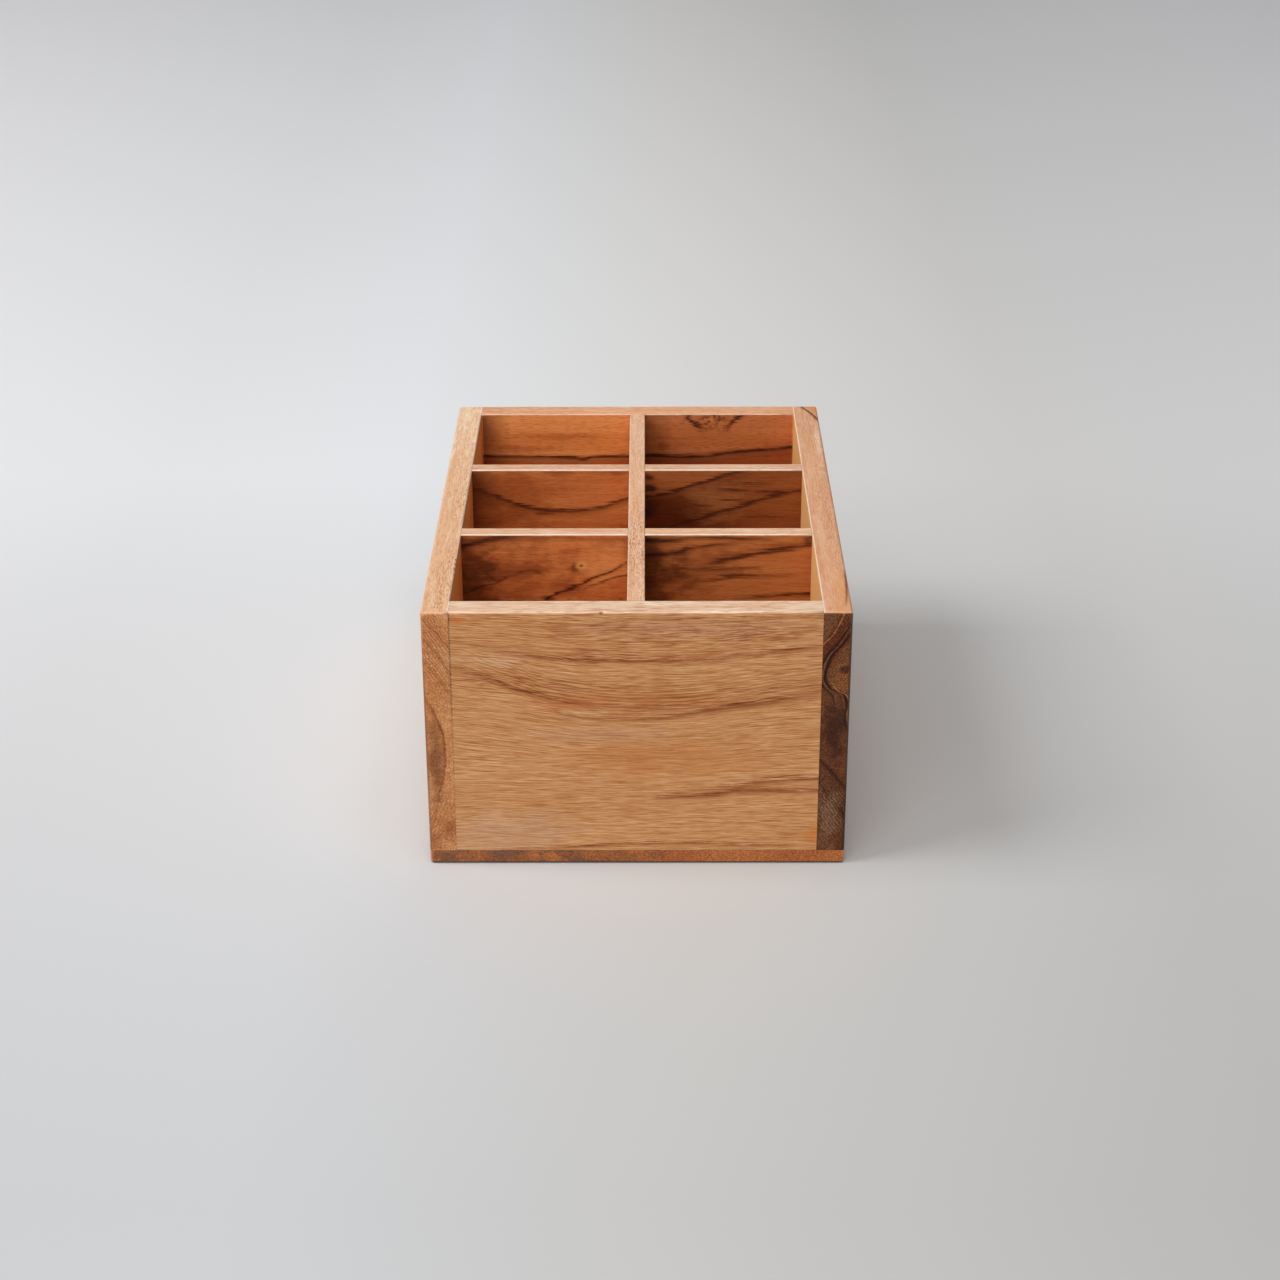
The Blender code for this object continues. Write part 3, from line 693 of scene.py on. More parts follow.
# The end grain, by height and then by x: a pale line and a double loop above, two slanting rings
# below, and fine layers between them.
teak.lay("#7A5C42", end, stain=True)
teak.patch("#E8B986", (FRONT, 88, 69), (END_REACH, 16, 9), 1, end, stain=True)
PALE_LINE = ((82, 60, 0), (86, 63.4, 1), (88.7, 65.6, 1), (91.9, 68.4, 1), (96.2, 70.5, 1),
             (100.5, 72.3, 1))
LOOP = ((48, 75.6, 0), (53.6, 74.6, 0.6), (60.2, 73.4, 0.8), (64.6, 73.9, 0.9), (67.8, 73.1, 1),
        (69.7, 70.1, 1), (71.8, 67.3, 1), (75.5, 66, 1), (79.1, 66.5, 1), (84.1, 68.5, 0.9),
        (87.6, 71.4, 0.9), (92.6, 74.8, 0.7), (96, 77, 0))
OUTER_LOOP = ((64, 70, 0), (67.5, 69, 0.6), (71.8, 65.4, 0.8), (75.5, 64.1, 0.8), (79.1, 64.6, 0.8),
              (84.1, 66.6, 0.8), (87.6, 69.4, 0.8), (92.6, 72.8, 0.7), (99, 77, 0.5))
teak.side("#704628", PALE_LINE, -3, "end")
teak.side("#784826", LOOP, 3, "end")
for path, warm, core, above, below in ((LOOP, "#B0A098", 0.7, 1.2, 2.8),
                                       (OUTER_LOOP, "#B8A8A0", 0.6, 0.8, 1.4)):
    teak.ring(path, core, above, below, "#8A7870", warm, "end", 0.2, 0.3, 0.4)
teak.patch("#8A4E26", (FRONT, 75.6, 71.8), (END_REACH, 6, 3), 0.7, end)
teak.patch("#75604F", (FRONT, 78.2, 72.8), (END_REACH, 1.6, 2.2), 0.8, end, 1, True)
teak.patch("#A8988E", (FRONT, 54, 69.6), (END_REACH, 18, 6), 1, end, 0.6, True)
for path in (((29, 76.4), (32.7, 73.2), (37.2, 69.8), (41.7, 65.7), (45, 62.4)),
             ((18, 75.8), (21.3, 73.6), (25.1, 70.2), (32, 66), (36, 63))):
    teak.ring([(z, x, 0.7) for z, x in path], 1.1, 2.4, 2.8, "#94867E", "#BCB0A8", "end", 0.5, 0.5, 0.5)
teak.patch("#8E6E50", (FRONT, 20, 69), (END_REACH, 16, 6), 0.6, end)
teak.layers("#B4A69C", ((0, 86, 0.8), (22, 71.5, 0.9), (34, 63, 0.8), (50, 52, 0)), 1.3, 16, "end")
teak.layers("#B8AAA0", ((60, 55, 0), (72, 62, 0.5), (100.5, 79, 0.7)), 1.1, 9, "end")
# Thin pale lines: the long one, one inside the loop's lower half and a faint one outside it.
within_loop = [(z, x + 0.8, share) for z, x, share in LOOP[:6]] + [(75.5, 66.8, 0)]
without_loop = [(z, x - 0.9, share) for z, x, share in LOOP[4:11]]
without_loop = [(62, 73.4, 0), *without_loop, (96, 75, 0)]
for path, strength in ((PALE_LINE, 0.8), (within_loop, 0.75), (without_loop, 0.3)):
    off, shows = teak.beyond(path, "end", 0.1, 0.2)
    thin = teak.add("MapRange", teak.add("Math", off, operation="ABSOLUTE"), 0.34, 0.05)
    teak.lay("#B4763F", thin, shows, strength)
teak.specks(1, end)
# The rim: warmer and paler streaks along it, a dark growth line across its far corner, and the
# edge of the same dark wood near its front.
teak.dense((-10, 100.5, 71.5), (60, 4, 4.4), 0.35)
# The rim and its inner edge are paler, partly from sanding wear and partly as painted sheen and highlight,
# and painted shade makes the rim a little darker towards the back.
rim = teak.wear_and_sheen_rim("#EEC29E", edges=(0.85, 0), far="#E9C09E")
for code, y, x, reach, wide, amount in (
        ("#DC9A62", -90, 71.5, 26, 4, 0.55), ("#E6BA96", -34, 68, 34, 2.2, 0.5),
        ("#D9A076", -10, 72.6, 60, 1.6, 0.5), ("#DDA274", 46, 70, 26, 2, 0.45),
        ("#EFCFB2", 66, 73, 24, 1.6, 0.5)):
    teak.patch(code, (y, 100.5, x), (reach, 4, wide), amount, rim, 0.9)
CORNER_LINE = ((78, 77.4, 0), (86.5, 74.7, 1), (93, 72.6, 1), (100.9, 69.3, 0.9), (104, 68.2, 0.8))
teak.side("#D88A50", CORNER_LINE, 3, "top", teak.add("Math", rim, 0.8, operation="MULTIPLY"))
teak.ring(CORNER_LINE, 0.8, 1.4, 1.8, "#A08878", "#D0B4A0", "top", 0.6, 0.6, 0.6, rim)
teak.ring(((-100, 72.6, 0), (-92, 73.5, 0.6), (-80, 74.2, 0.8), (-64, 74.8, 0)), 0.5, 0.9, 1.2,
          "#A89080", "#D2B8A6", "top", 0.5, 0.4, 0.6, rim)
# Painted shade makes the corner's arris nearly black, up to just below the rim.
arris = teak.add("MapRange", teak.through, *(teak.high[2] - depth for depth in (0.9, 0.5)), 0, 0.85)
below_rim = teak.add("MapRange", teak.across, 100.2, 99.4)
teak.lay("#33231C", arris, below_rim, teak.end_arris)
place_board("right_side", side_board("right", 7.0), teak.finish("#A8886F", 0.15))


# Front panel: a flat-sawn teak board between the sides, its grain from left to right, with
# growth lines that dip to the middle. A stopped housing inside takes the centre divider.
NICK_AT = -12.3 * MM
NICK_REACH = 0.9 * MM
NICK_DEPTH = 0.35 * MM


def panel_board(end, seed):
    """The front or back panel: housing, holes and eased edges."""
    low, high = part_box(end + "_panel")
    low.z = FOOT
    low.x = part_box("left_side")[1].x + JOINT_LINE
    high.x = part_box("right_side")[0].x - JOINT_LINE
    inner, outer = (high.y, low.y) if end == "front" else (low.y, high.y)
    near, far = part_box("centre_divider")
    depth = abs((near if end == "front" else far).y - inner) + HOLE_SLACK
    bm = housed_wall(low, high, 0, inner, depth, [(near.x - FIT, far.x + FIT)])
    bore_dowel_holes(bm, "left", -1, low.x, low, high)
    bore_dowel_holes(bm, "right", 1, high.x, low, high)
    bore_screw_holes(bm, low, high)
    score_stations(bm, 0, low, high)
    if end == "front":
        score(bm, 0, [NICK_AT + NICK_REACH * share for share in (-1.0, -0.4, 0.3, 1.0)])
    ease(bm, [e for e in bm.edges if lies_on(e, ((1, outer), (2, TOP)))], ARRIS)
    ease(bm, [e for e in bm.edges if lies_on(e, ((1, inner), (2, TOP)))], INNER_ARRIS, 3)
    waver_edges(bm, Vector((-1, low.y, low.z)), Vector((1, high.y, high.z)), seed)
    return bm


front_bm = panel_board("front", 11.0)
front_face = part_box("front_panel")[0].y
for v in front_bm.verts:
    if abs(v.co.x - NICK_AT) < NICK_REACH * 0.5 and v.co.z > TOP - ARRIS and v.co.y < front_face + ARRIS:
        v.co += Vector((0.0, NICK_DEPTH, -NICK_DEPTH))

# The fibre follows the growth lines: it bends most, by the heights of the first path, at the
# middle heights of the board, as the second path says. Its fine dark hairs are as thin as shows.
FRONT_BEND = ((-65.6, 6), (-47, 4), (-30, 1.6), (-8, 0), (8, 0), (23, 0.5), (35, 1.6), (48.3, 2.6),
              (64.9, 4))
FRONT_BEND_SHARE = ((5, 0), (38, 0.2), (62, 1), (78, 0.9), (100.5, 0.3))
HAIR_SIZE = (9, 0.19, 0.40)
FRONT_REACH = 40.0
teak = Teak("front_panel", "XZY", ("#AC6834", "#C88E58", "#D7A26E", "#E3B992"), 3, 0.80, 0.05, 0.12,
            (6, 0.24, 0.34), (FRONT_BEND, FRONT_BEND_SHARE), (8, 0.25, 0.40))
for code, x, z, wide, high, amount in (
        ("#C67E42", 0, 67, 44, 6, 0.45), ("#C67C3E", 8, 42, 50, 12, 0.5), ("#C8A488", -46, 13, 34, 13, 0.4),
        ("#BC8E70", -8, 53, 30, 5, 0.4), ("#C09478", 20, 94, 60, 6, 0.35),
        ("#DCB084", -50, 81.6, 16, 3.6, 0.8), ("#C87844", -24, 64.5, 15, 3.6, 0.5),
        ("#D49A66", -44, 88, 20, 4, 0.35), ("#CF7F36", -62.2, 97.6, 5, 2.6, 0.7),
        ("#CF7A30", 63.4, 11, 3.8, 6.5, 0.7)):
    teak.patch(code, (x, z, FRONT), (wide, high, FRONT_REACH), amount)
teak.layers("#D6BFAC", ((-65.6, 84, 0.1), (-45, 76, 0.7), (-20, 68.5, 0.9), (8, 66.5, 0.9),
                        (30, 68.5, 0.8), (48, 72, 0.6), (64.9, 75, 0.5)), 1.25, 9)
# Growth lines from the top of the board down: the core's half width, the soft band above it and
# below it, and the path.
for core, above, below, path in (
        (0.8, 3.6, 1.6,
         ((-65.6, 90.3, 0.2), (-47.6, 85.2, 0.5), (-26.7, 82.5, 0.8), (8.1, 81.7, 0.8), (38.5, 84, 0.7),
          (52, 85.4, 0.8), (64.9, 87.1, 0.5))),
        (0.9, 2.4, 2.4,
         ((-65.6, 79.3, 0.4), (-54.8, 76.3, 0.7), (-42.4, 70.8, 0.8), (-29.8, 67.3, 0.6),
          (-14.4, 64.5, 0.5), (8.2, 63.7, 0.4), (26, 64.6, 0))),
        (1.1, 3.4, 1.6,
         ((-30, 62, 0), (-23.6, 60.2, 0.5), (-8.1, 58.6, 0.6), (8.2, 59, 0.6), (23, 61.7, 0.6),
          (35.6, 64.5, 0.6), (48.3, 66.4, 0.5), (64.9, 69.8, 0.3))),
        (1.8, 2.4, 2.4, ((14, 60, 0), (38, 63.9, 0.5), (50, 65.7, 0.4), (64.9, 68.8, 0.2))),
        (0.5, 1.4, 1, ((30, 70.3, 0), (47.1, 71.1, 0.6), (55.5, 71.5, 0.7), (64.9, 71.9, 0.7))),
        (1.2, 3.2, 2,
         ((4, 26.9, 0), (14, 27.6, 0.7), (26.5, 28.4, 0.9), (39.4, 30, 0.9), (64.9, 29.9, 0.8))),
        (1.6, 2.4, 2.6,
         ((18, 30, 0), (29.7, 30.8, 0.4), (40, 32.6, 0.6), (52.1, 34.4, 0.8), (64.9, 34.9, 0.7))),
        (0.7, 1.6, 1.4,
         ((-48, 6.2, 0), (-36, 6.6, 0.5), (-14.9, 7.6, 0.8), (4.6, 8.5, 0.8), (39.7, 7.5, 0.7),
          (60, 7.2, 0)))):
    teak.ring(path, core, above, below, "#B8967E", waver=1, ragged=2, grit=1)
for x, z, wide, high, amount in ((6, 95, 80, 16, 0.4), (43, 92, 30, 9, 0.6), (-48, 76, 22, 8, 0.5),
                                 (-14, 83, 20, 3, 0.8)):
    teak.dense((x, z, FRONT), (wide, high, FRONT_REACH), amount)
teak.patch("#7A3F22", (NICK_AT / MM, 99.9, FRONT + 0.3), (0.9, 0.6, 0.9), 0.9)
# Dust and oil darken the seam to the left side, most of all high up, and the foot of the board.
seam = teak.add("MapRange", teak.along, *(teak.low[0] + off for off in (0.34, 0.1)))
upper = teak.add("MapRange", teak.across, 40, 75, 0.1, 1)
dashes = teak.add("MapRange", teak.fibre, 0.2, 0.6, 1, 0.3)
teak.lay("#6B4832", seam, dashes, upper)
teak.lay("#8A6348", teak.add("MapRange", teak.across, FOOT / MM + 0.4, FOOT / MM), 0.7)
hairs = teak.field(teak.grain, HAIR_SIZE, 1, 31, 0.54, 0.61)
teak.lay("#BE8052", hairs, teak.add("MapRange", teak.across, 45, 90, 0.4, 0.75), stain=True)
teak.wear_and_sheen_rim("#FFEFD8", 0.86, (0.85, 0.4))
place_board("front_panel", front_bm, teak.finish("#C08A60", 0.3))

# Back panel: like the front panel, from a redder board with one nearly black growth line
# right across it, and a small burr at its top edge on the right.
INNER_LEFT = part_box("left_side")[1].x / MM
DIVIDER_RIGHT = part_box("centre_divider")[1].x / MM
BACK_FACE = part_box("back_panel")[0].y / MM
teak = Teak("back_panel", "XZY", ("#D6783A", "#E98F4C", "#F29E5E", "#FAAF71"), 4, 0.15, 0.35, 0.5)
inside = teak.at_face(-1)
teak.lay("#D8CBD0", teak.add("MapRange", teak.along, -6, 10), inside, stain=True)
BACK_LINE = ((-65.4, 81.6, 0.8), (-43.9, 81.3, 0.8), (-27, 80.9, 1), (-22.8, 80.3, 1), (-19, 81.3, 0.9),
             (-4.5, 81.6, 1), (3.2, 82.1, 1), (19.8, 81.4, 1), (37.9, 83, 0.9), (56, 84.6, 0.9),
             (64.9, 85.6, 0.8))
BURR_RING = ((15, 103.5, 0), (19.7, 100.9, 0.7), (22.1, 97.9, 1), (24.5, 95.4, 1), (28.2, 93.6, 0.2),
             (32.4, 92.7, 0), (36, 93.6, 0.2), (38.3, 95.4, 0.8), (40.1, 97.7, 1), (44.3, 100.5, 0.8),
             (48, 103.5, 0))
teak.side("#C8A490", BACK_LINE, -3, stain=True)
teak.ring(BACK_LINE, 1.2, 2.4, 4, "#787274", "#BEACA4", waver=0.9, ragged=0.6, grit=0.9)
teak.ring(BURR_RING, 1.9, 4, 3, "#968E8A", "#B8A090", waver=3, ragged=2.4)
# The burr is a crumble of small dark and pale grains under its ring.
burr = teak.field(teak.at, (1.9, 1.9, 1.9), 4, 21, 0.44, 0.60)
teak.lay("#8E6650", burr, teak.blot((31.5, 98, BACK_FACE), (9.5, 6.5, 9)), stain=True)
flecks = teak.field(teak.at, (2.2, 1.6, 1.6), 3, 23, 0.52, 0.62)
teak.lay("#E08C4E", flecks, teak.blot((31, 96.6, BACK_FACE), (7, 4.5, 9)), 0.6)
for code, x, z, wide, high in (("#C0A698", 10.4, 85.6, 4, 2.4), ("#C8A898", -36, 90.5, 34, 1.8),
                               ("#C8A898", -50, 85, 20, 2.4)):
    teak.patch(code, (x, z, BACK_FACE), (wide, high, 6), 0.5, waver=0.9, stain=True)
# Painted shade in the corners at the left side and right of the centre divider.
teak.corner(INNER_LEFT, 1, inside)
teak.corner(DIVIDER_RIGHT, 0.8, inside)
teak.wear_and_sheen_rim("#F2C6A0", 0.92, (0.4, 0))
place_board("back_panel", panel_board("back", 13.0), teak.finish("#BCA08C", 0.4))

# Bottom board: one thin teak board under all four walls, its end grain at the front. It is
# countersunk from below for eight screws, which go up into the walls.
HEAD_RADIUS = 2.35 * MM
SINK = 0.3 * MM
COUNTERSINK = 1.6 * MM
BOTTOM_ARRIS = 1.3 * MM
bottom_low, bottom_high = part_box("bottom_board")
bottom_bm = block(bottom_low, bottom_high)
for node in SCREWS:
    near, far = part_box(node)
    spot = (near + far) / 2
    wide, narrow = HEAD_RADIUS + HOLE_SLACK, THREAD_RADIUS + HOLE_SLACK
    below = bore(bottom_bm, Vector((spot.x, spot.y, bottom_low.z)), 2, -1,
                 ((wide, 0), (wide, SINK), (narrow, SINK + COUNTERSINK),
                  (narrow, SINK + COUNTERSINK * 1.5)))
    above = bore(bottom_bm, Vector((spot.x, spot.y, bottom_high.z)), 2, 1, ((narrow, 0.0),))
    rings = below.edges[:] + above.edges[:]
    bmesh.ops.delete(bottom_bm, geom=[below, above], context="FACES_ONLY")
    tube = bmesh.ops.bridge_loops(bottom_bm, edges=rings)
    for face in tube["faces"]:
        face.smooth = True
lengthways = [((0, x), (2, bottom_low.z)) for x in (bottom_low.x, bottom_high.x)]
crossways = [((1, y), (2, bottom_low.z)) for y in (bottom_low.y, bottom_high.y)]
upright_edges = [((0, x), (1, y)) for x in (bottom_low.x, bottom_high.x)
                 for y in (bottom_low.y, bottom_high.y)]
ease(bottom_bm, [e for e in bottom_bm.edges
                 if any(lies_on(e, line) for line in lengthways + crossways + upright_edges)],
     BOTTOM_ARRIS)
teak = Teak("bottom_board", "YXZ", ("#A66A42", "#BB8054", "#C99266", "#D4A278"), 5)
# Its end is mottled, more to the left, and painted shade makes its lower edge nearly black, for the shadow
# under the rounded edge where it meets the floor.
end = teak.ends
teak.lay("#F0C8A4", end, stain=True)
mottle = teak.field(teak.at, (30, 9, 5), 3, 20, 0.35, 0.6)
leftward = teak.add("MapRange", teak.across, 30, -20, 0.1, 1)
teak.lay("#7E5338", mottle, leftward, end)
teak.specks(0.5, end)
teak.lay("#38271E", teak.add("MapRange", teak.through, 1.1, 0.5, 0, 0.9))
place_board("bottom_board", bottom_bm, teak.finish())

# Centre divider: a 6 mm teak board from front to back. Its top runs unbroken, and it is notched
# from below where the cross dividers lap into it.
DIVIDER_ARRIS = 0.4 * MM
LAP = (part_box("centre_divider")[0].z + TOP) / 2


def divider_board(node, run, shoulders, notches, notched_from_top):
    """A divider with tongues at its ends and half-lap notches."""
    low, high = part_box(node)
    thick = 1 - run
    stop = TOP - HOUSING_STOP - FIT
    outline = [(low[run], FOOT)]
    if not notched_from_top:
        for a, b in notches:
            outline += [(a, FOOT), (a, LAP + FIT), (b, LAP + FIT), (b, FOOT)]
    outline += [(high[run], FOOT), (high[run], stop), (shoulders[1], stop), (shoulders[1], TOP)]
    if notched_from_top:
        for a, b in notches:
            outline += [(b, TOP), (b, LAP - FIT), (a, LAP - FIT), (a, TOP)]
    outline += [(shoulders[0], TOP), (shoulders[0], stop), (low[run], stop)]
    bm = bmesh.new()
    corners = []
    for at, height in outline:
        corner = Vector((0.0, 0.0, height))
        corner[run], corner[thick] = at, low[thick]
        corners.append(bm.verts.new(corner))
    face = bm.faces.new(corners)
    grown = bmesh.ops.extrude_face_region(bm, geom=[face])
    sweep = Vector((0.0, 0.0, 0.0))
    sweep[thick] = high[thick] - low[thick]
    bmesh.ops.translate(bm, verts=[v for v in grown["geom"] if isinstance(v, bmesh.types.BMVert)],
                        vec=sweep)
    score_stations(bm, run, low, high)
    ease(bm, [e for e in bm.edges if lies_on(e, ((thick, low[thick]), (2, TOP)))
              or lies_on(e, ((thick, high[thick]), (2, TOP)))], DIVIDER_ARRIS, 3)
    return bm


cross_nodes = ("front_cross_divider", "rear_cross_divider")
crossings = [(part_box(node)[0].y - FIT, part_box(node)[1].y + FIT) for node in cross_nodes]
between_panels = (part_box("front_panel")[1].y + FIT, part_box("back_panel")[0].y - FIT)
centre_bm = divider_board("centre_divider", 1, between_panels, crossings, False)
teak = Teak("centre_divider", "YZX", ("#CC8850", "#DEA06C", "#E8B286", "#F0C49E"), 6, 0.35, 0.45, 0.4,
            (2.2, 0.34, 0.34))
teak.dense((-50, 100.5, 0), (60, 4, 9), 0.5)
teak.wear_and_sheen_rim("#FADCBE", edges=(0.4, 0.4))
place_board("centre_divider", centre_bm, teak.finish("#A07C66", 0.2))

# Cross dividers: two 6 mm teak boards from side to side, notched from above to lap over the
# centre divider. The front one is smoky and knotted on its left, where painted shade darkens it too; the rear
# one has a smiling ring.
centre_near, centre_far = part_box("centre_divider")
across_sides = (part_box("left_side")[1].x + FIT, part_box("right_side")[0].x - FIT)
lap_slot = [(centre_near.x - FIT, centre_far.x + FIT)]
FRONT_CROSS_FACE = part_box("front_cross_divider")[0].y / MM
teak = Teak("front_cross_divider", "XZY", ("#BF642D", "#D2763C", "#DE8548", "#E89658"), 7, 0.3, 0.3, 0.4)
# Its right half is cooler, and smoke gathers in clouds. Its left end, darker towards the wall, and the dark
# clouds beside the walls are partly smoky figure and partly painted shade.
teak.lay("#E5EDF1", teak.add("MapRange", teak.along, -3, 3), stain=True)
teak.lay("#EEEAE6", teak.add("MapRange", teak.along, -22, -48), stain=True)
mottle = teak.field(teak.at, (6.5, 5, 5), 4, 22, 0.44, 0.60)
teak.lay("#BCA494", mottle, teak.add("MapRange", teak.along, 3, -3, 0, 0.38), stain=True)
for code, x, z, wide, high, amount in (
        ("#8C848A", -60, 82, 10, 19, 0.72), ("#B8A498", -46, 86, 16, 9, 0.5),
        ("#C4AA9A", -30, 80, 12, 5, 0.5), ("#AC968A", 24, 88, 22, 12, 0.4), ("#9C8C84", 7, 86, 14, 22, 0.8),
        ("#C4B0A4", -8, 95, 9, 5, 0.5), ("#7C6A62", -34, 74.4, 4.4, 1.8, 0.8),
        ("#7C6A62", -6, 74.3, 1.8, 1.2, 0.7), ("#8C7468", -23, 87.2, 3.4, 3.4, 0.8),
        ("#6E5E58", 63, 98, 4.6, 3.6, 0.9)):
    teak.patch(code, (x, z, FRONT_CROSS_FACE), (wide, high, 9), amount, waver=1.2, stain=True)
# A small pin knot in a paler swirl.
KNOT = (-20.9, 87.9, FRONT_CROSS_FACE)
teak.patch("#EA9A58", (-11, 88, FRONT_CROSS_FACE), (13, 12, 9), 0.65, waver=0.9)
teak.patch("#F2A862", KNOT, (3, 2.7, 6), 1, waver=0.3)
teak.patch("#9C7A68", KNOT, (1.3, 1.1, 6), 0.9, waver=0.2, stain=True)
# Growth lines, first to the left of the centre divider, then to its right: the core's half width,
# the soft band above it and below it, and the path.
SMOKE = dict(dark="#968C86", warm="#C8B8AE", waver=1.3, ragged=1, grit=1)
for core, above, below, path in (
        (1.5, 3, 4,
         ((-65.4, 95.4, 1), (-58.9, 97.4, 1), (-50, 99.4, 0.9), (-44.8, 99.9, 0.7), (-34, 100.6, 0))),
        (0.7, 1.6, 1.2,
         ((-65.4, 76.6, 0.5), (-53.6, 81, 0.6), (-46, 84.2, 0.6), (-39.4, 85.6, 0.6), (-34, 84, 0))),
        (0.75, 1.6, 1.8,
         ((-35, 73.6, 0.6), (-29.8, 76.6, 1), (-22.7, 79.4, 1), (-15.2, 83.3, 1), (-8.6, 86.2, 0.8),
          (-3.4, 89.2, 0.5), (0, 90.5, 0))),
        (0.6, 1.2, 1.2,
         ((-22, 77.6, 0), (-16.1, 79.9, 0.5), (-8.6, 82.6, 0.8), (-3.4, 84, 0.7), (0, 84.4, 0))),
        (1.6, 2.4, 3, ((0, 98.6, 0), (2.4, 98.4, 1), (7, 98.2, 1), (12, 97.9, 0.8), (20, 98.4, 0))),
        (1.1, 2, 2, ((10, 98.6, 0.2), (24, 99.2, 0.6), (33, 99.2, 0.9), (40, 98.4, 0.7), (54, 98.6, 0))),
        (0.9, 1.8, 2,
         ((0, 92.4, 0), (2.8, 92.2, 1), (10, 92.6, 0.9), (20.5, 94.8, 0.8), (28, 95.9, 0.6), (40, 97, 0))),
        (1.3, 4, 1.8,
         ((24, 88.4, 0), (35, 90.4, 0.9), (47.2, 93.3, 1), (59.5, 95.3, 0.8), (65, 96.4, 0.9))),
        (1, 2.6, 1.4, ((18, 80.6, 0), (28, 81.9, 0.6), (39.4, 83.6, 0.8), (47, 83.4, 0.4), (62, 83.2, 0))),
        (1, 2, 1.4, ((10, 86.2, 0), (28.1, 86.3, 0.5), (38.8, 86.9, 0.5), (48, 87, 0))),
        (0.9, 2, 1.8, ((34, 74, 0), (48, 75, 0.7), (58.3, 75.7, 0.9), (65, 76, 0.9)))):
    teak.ring(path, core, above, below, **SMOKE)
# Painted shade in the corners at the left side and right of the centre divider.
teak.corner(INNER_LEFT, 0.65)
teak.corner(DIVIDER_RIGHT)
teak.wear_and_sheen_rim("#FBDCBE", 0.92, (0.9, 0.6))
place_board("front_cross_divider", divider_board("front_cross_divider", 0, across_sides, lap_slot, True),
            teak.finish("#BCA08C", 0.3))

REAR_CROSS_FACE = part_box("rear_cross_divider")[0].y / MM
teak = Teak("rear_cross_divider", "XZY", ("#B45D2B", "#C66E37", "#D27D42", "#DD8C52"), 8, 0.2, 0.4, 0.4)
teak.lay("#D4D0C8", teak.add("MapRange", teak.along, -3, 3), stain=True)
ORANGE_EDGE = ((0, 88.4, 0), (2.8, 88.9, 1), (10.3, 90.2, 1), (27.3, 95.7, 1), (38.6, 99.3, 0.8),
               (46, 101.4, 0.5), (66, 101.6, 0.4))
SMILE = ((-65.4, 92.8, 0.4), (-51.9, 87.4, 0.8), (-46.6, 85.4, 1), (-41.3, 83.9, 1), (-30.7, 83, 0.9),
         (-25.3, 83.1, 0.9), (-14.7, 84.6, 0.8), (-9.4, 86.2, 0.8), (-3.4, 88.5, 0.7), (0, 90, 0))
RISING_LINE = ((10, 75, 0.2), (18.9, 77.9, 0.5), (33.1, 82.5, 0.8), (41.7, 85, 0.8), (53, 89.2, 0.8),
               (65, 91.8, 0.6))
teak.side("#B8A294", ORANGE_EDGE, -3, stain=True)
for code, x, z, wide, high, amount in (("#C0AAA0", 14, 82, 22, 14, 0.7), ("#C8B29C", -52, 88, 28, 18, 0.8)):
    teak.patch(code, (x, z, REAR_CROSS_FACE), (wide, high, 9), amount, stain=True)
teak.patch("#D68A50", (31, 88, REAR_CROSS_FACE), (16, 13, 9), 0.3, waver=0.9)
for core, above, below, path in ((1.2, 1.6, 3.4, ORANGE_EDGE[:6]), (1.15, 1.8, 4, SMILE),
                                 (1.2, 2.4, 2, RISING_LINE)):
    teak.ring(path, core, above, below, **SMOKE)
# Pink-grey streaks under the rim, and dark spots just right of the centre divider that are partly figure and
# partly painted shade.
for code, x, z, wide, high, amount in (
        ("#B89A90", -32, 99.6, 10, 2.4, 0.6), ("#B89A90", -9, 99.5, 9, 2, 0.6),
        ("#685852", 4.6, 97.3, 4, 2, 0.9), ("#685852", 4.6, 93, 4.4, 2.2, 0.9),
        ("#5E504A", 2, 84, 8, 7, 0.7)):
    teak.patch(code, (x, z, REAR_CROSS_FACE), (wide, high, 6), amount, waver=0.7, stain=True)
# Short growth lines between the long ones.
for x, z, reach, strength in ((-37, 81.6, 5, 0.5), (53, 91.1, 8, 0.8), (37.5, 91.6, 8, 0.6),
                              (37, 87.6, 6, 0.6), (24, 85.3, 8, 0.5), (44, 94.6, 12, 0.4),
                              (50, 80.5, 12, 0.4)):
    teak.ring(((x - reach, z - 0.2, 0), (x, z, strength), (x + reach, z + 0.1, 0)), 0.7, 1.2, 1.2, **SMOKE)
# Painted shade in the corner at the left side.
teak.corner(INNER_LEFT)
teak.wear_and_sheen_rim("#F3D2B6", 0.92, (0.9, 0.5))
place_board("rear_cross_divider", divider_board("rear_cross_divider", 0, across_sides, lap_slot, True),
            teak.finish("#BCA08C", 0.3))

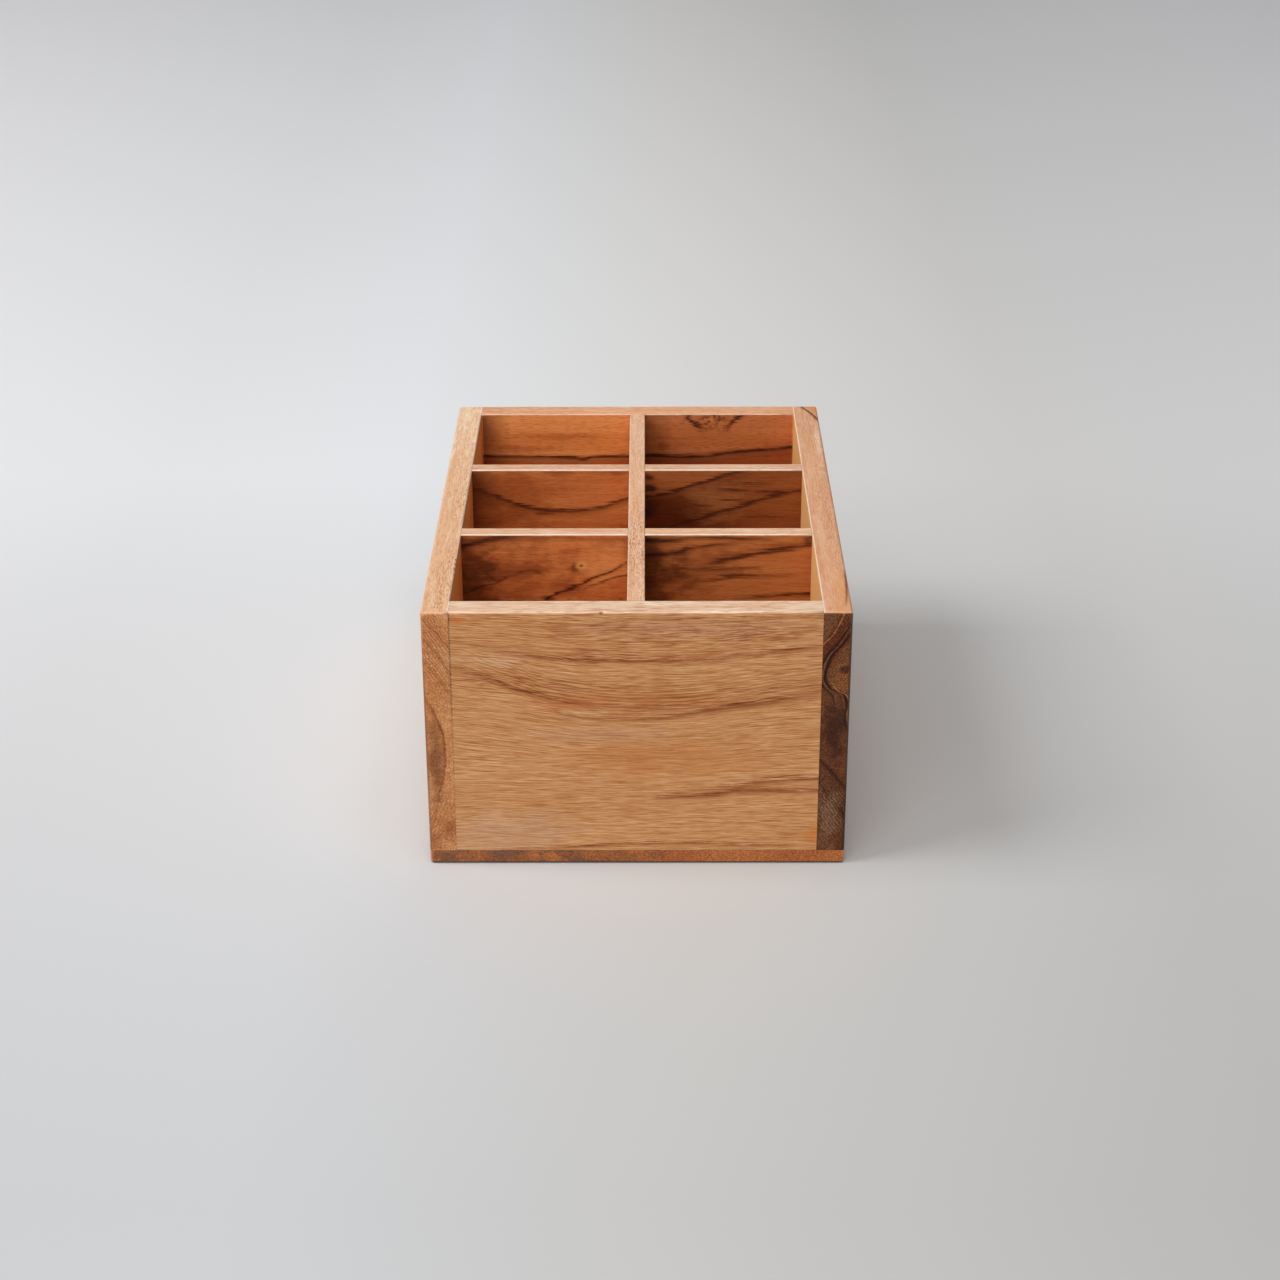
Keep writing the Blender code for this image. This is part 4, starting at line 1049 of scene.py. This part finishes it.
# Dowels: twelve turned beech pins, 5 x 20 mm, fluted to let the glue out and hidden in the
# corner joints. Their solids are right as they are, so they only get their wood, which is bare.
RAY_SIZE = (1.6, 0.30, 0.30)
BEECH_GRAIN_SIZE = (18.0, 0.9, 0.9)
beech, tree = start_material("bare_turned_beech")
grain = pattern(tree, in_mm(tree), BEECH_GRAIN_SIZE, 3.0, 0.3, 0.7)
rays = pattern(tree, in_mm(tree), RAY_SIZE, 0.0, 0.56, 0.68)
tone = tones_between(tree, grain, (("#CFA878", 0.0), ("#DDBB8E", 0.5), ("#E8CCA4", 1.0)))
# Beech shows short dark ray flecks along the grain. Turned and unoiled, it stays dull, and its
# cut fibres feel a little rough.
tone = add(tree, "Mix", output=2, where={0: rays, 6: tone, 7: shade("#B58A5C")}, data_type="RGBA")
height = add(tree, "Math", rays, -0.5, grain, operation="MULTIPLY_ADD")
bump = add(tree, "Bump", where={"Height": height, "Strength": 0.3, "Distance": 0.08 * MM})
rough = add(tree, "Math", grain, 0.12, 0.62, operation="MULTIPLY_ADD")
surface = add(tree, "BsdfPrincipled", where={"Base Color": tone, "Roughness": rough,
                                             "Specular IOR Level": 0.3, "Normal": bump})
add(tree, "OutputMaterial", surface)

# Screws: eight countersunk wood screws, 2.5 x 16 mm, cold-headed and thread-rolled from steel
# wire, up through the bottom board into the walls. Bright zinc plate keeps them from rust.
SPANGLE_SIZE = (0.9, 0.9, 0.9)
SCUFF_SIZE = (0.35, 0.35, 0.12)
zinc, tree = start_material("bright_zinc_plate")
cloudy = pattern(tree, in_mm(tree), SPANGLE_SIZE, 3.0, 0.3, 0.7)
scuffs = pattern(tree, in_mm(tree), SCUFF_SIZE, 1.0, 0.5, 0.75)
# The plate is a cool silver that clouds a little, and the driver and the die leave fine scuffs
# round it, which are duller than the rest.
tone = tones_between(tree, cloudy, (("#B4B6B8", 0.0), ("#C6C6C4", 0.5), ("#D6D4CE", 1.0)))
rough = add(tree, "Math", scuffs, 0.22, 0.24, operation="MULTIPLY_ADD")
rough = add(tree, "Math", cloudy, 0.08, rough, operation="MULTIPLY_ADD")
bump = add(tree, "Bump", where={"Height": scuffs, "Strength": 0.25, "Distance": 0.02 * MM})
surface = add(tree, "BsdfPrincipled", where={"Base Color": tone, "Metallic": 1.0, "Roughness": rough,
                                             "Normal": bump})
add(tree, "OutputMaterial", surface)

for nodes, finish in ((DOWELS, beech), (SCREWS, zinc)):
    for node in nodes:
        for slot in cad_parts[node].material_slots:
            slot.material = finish
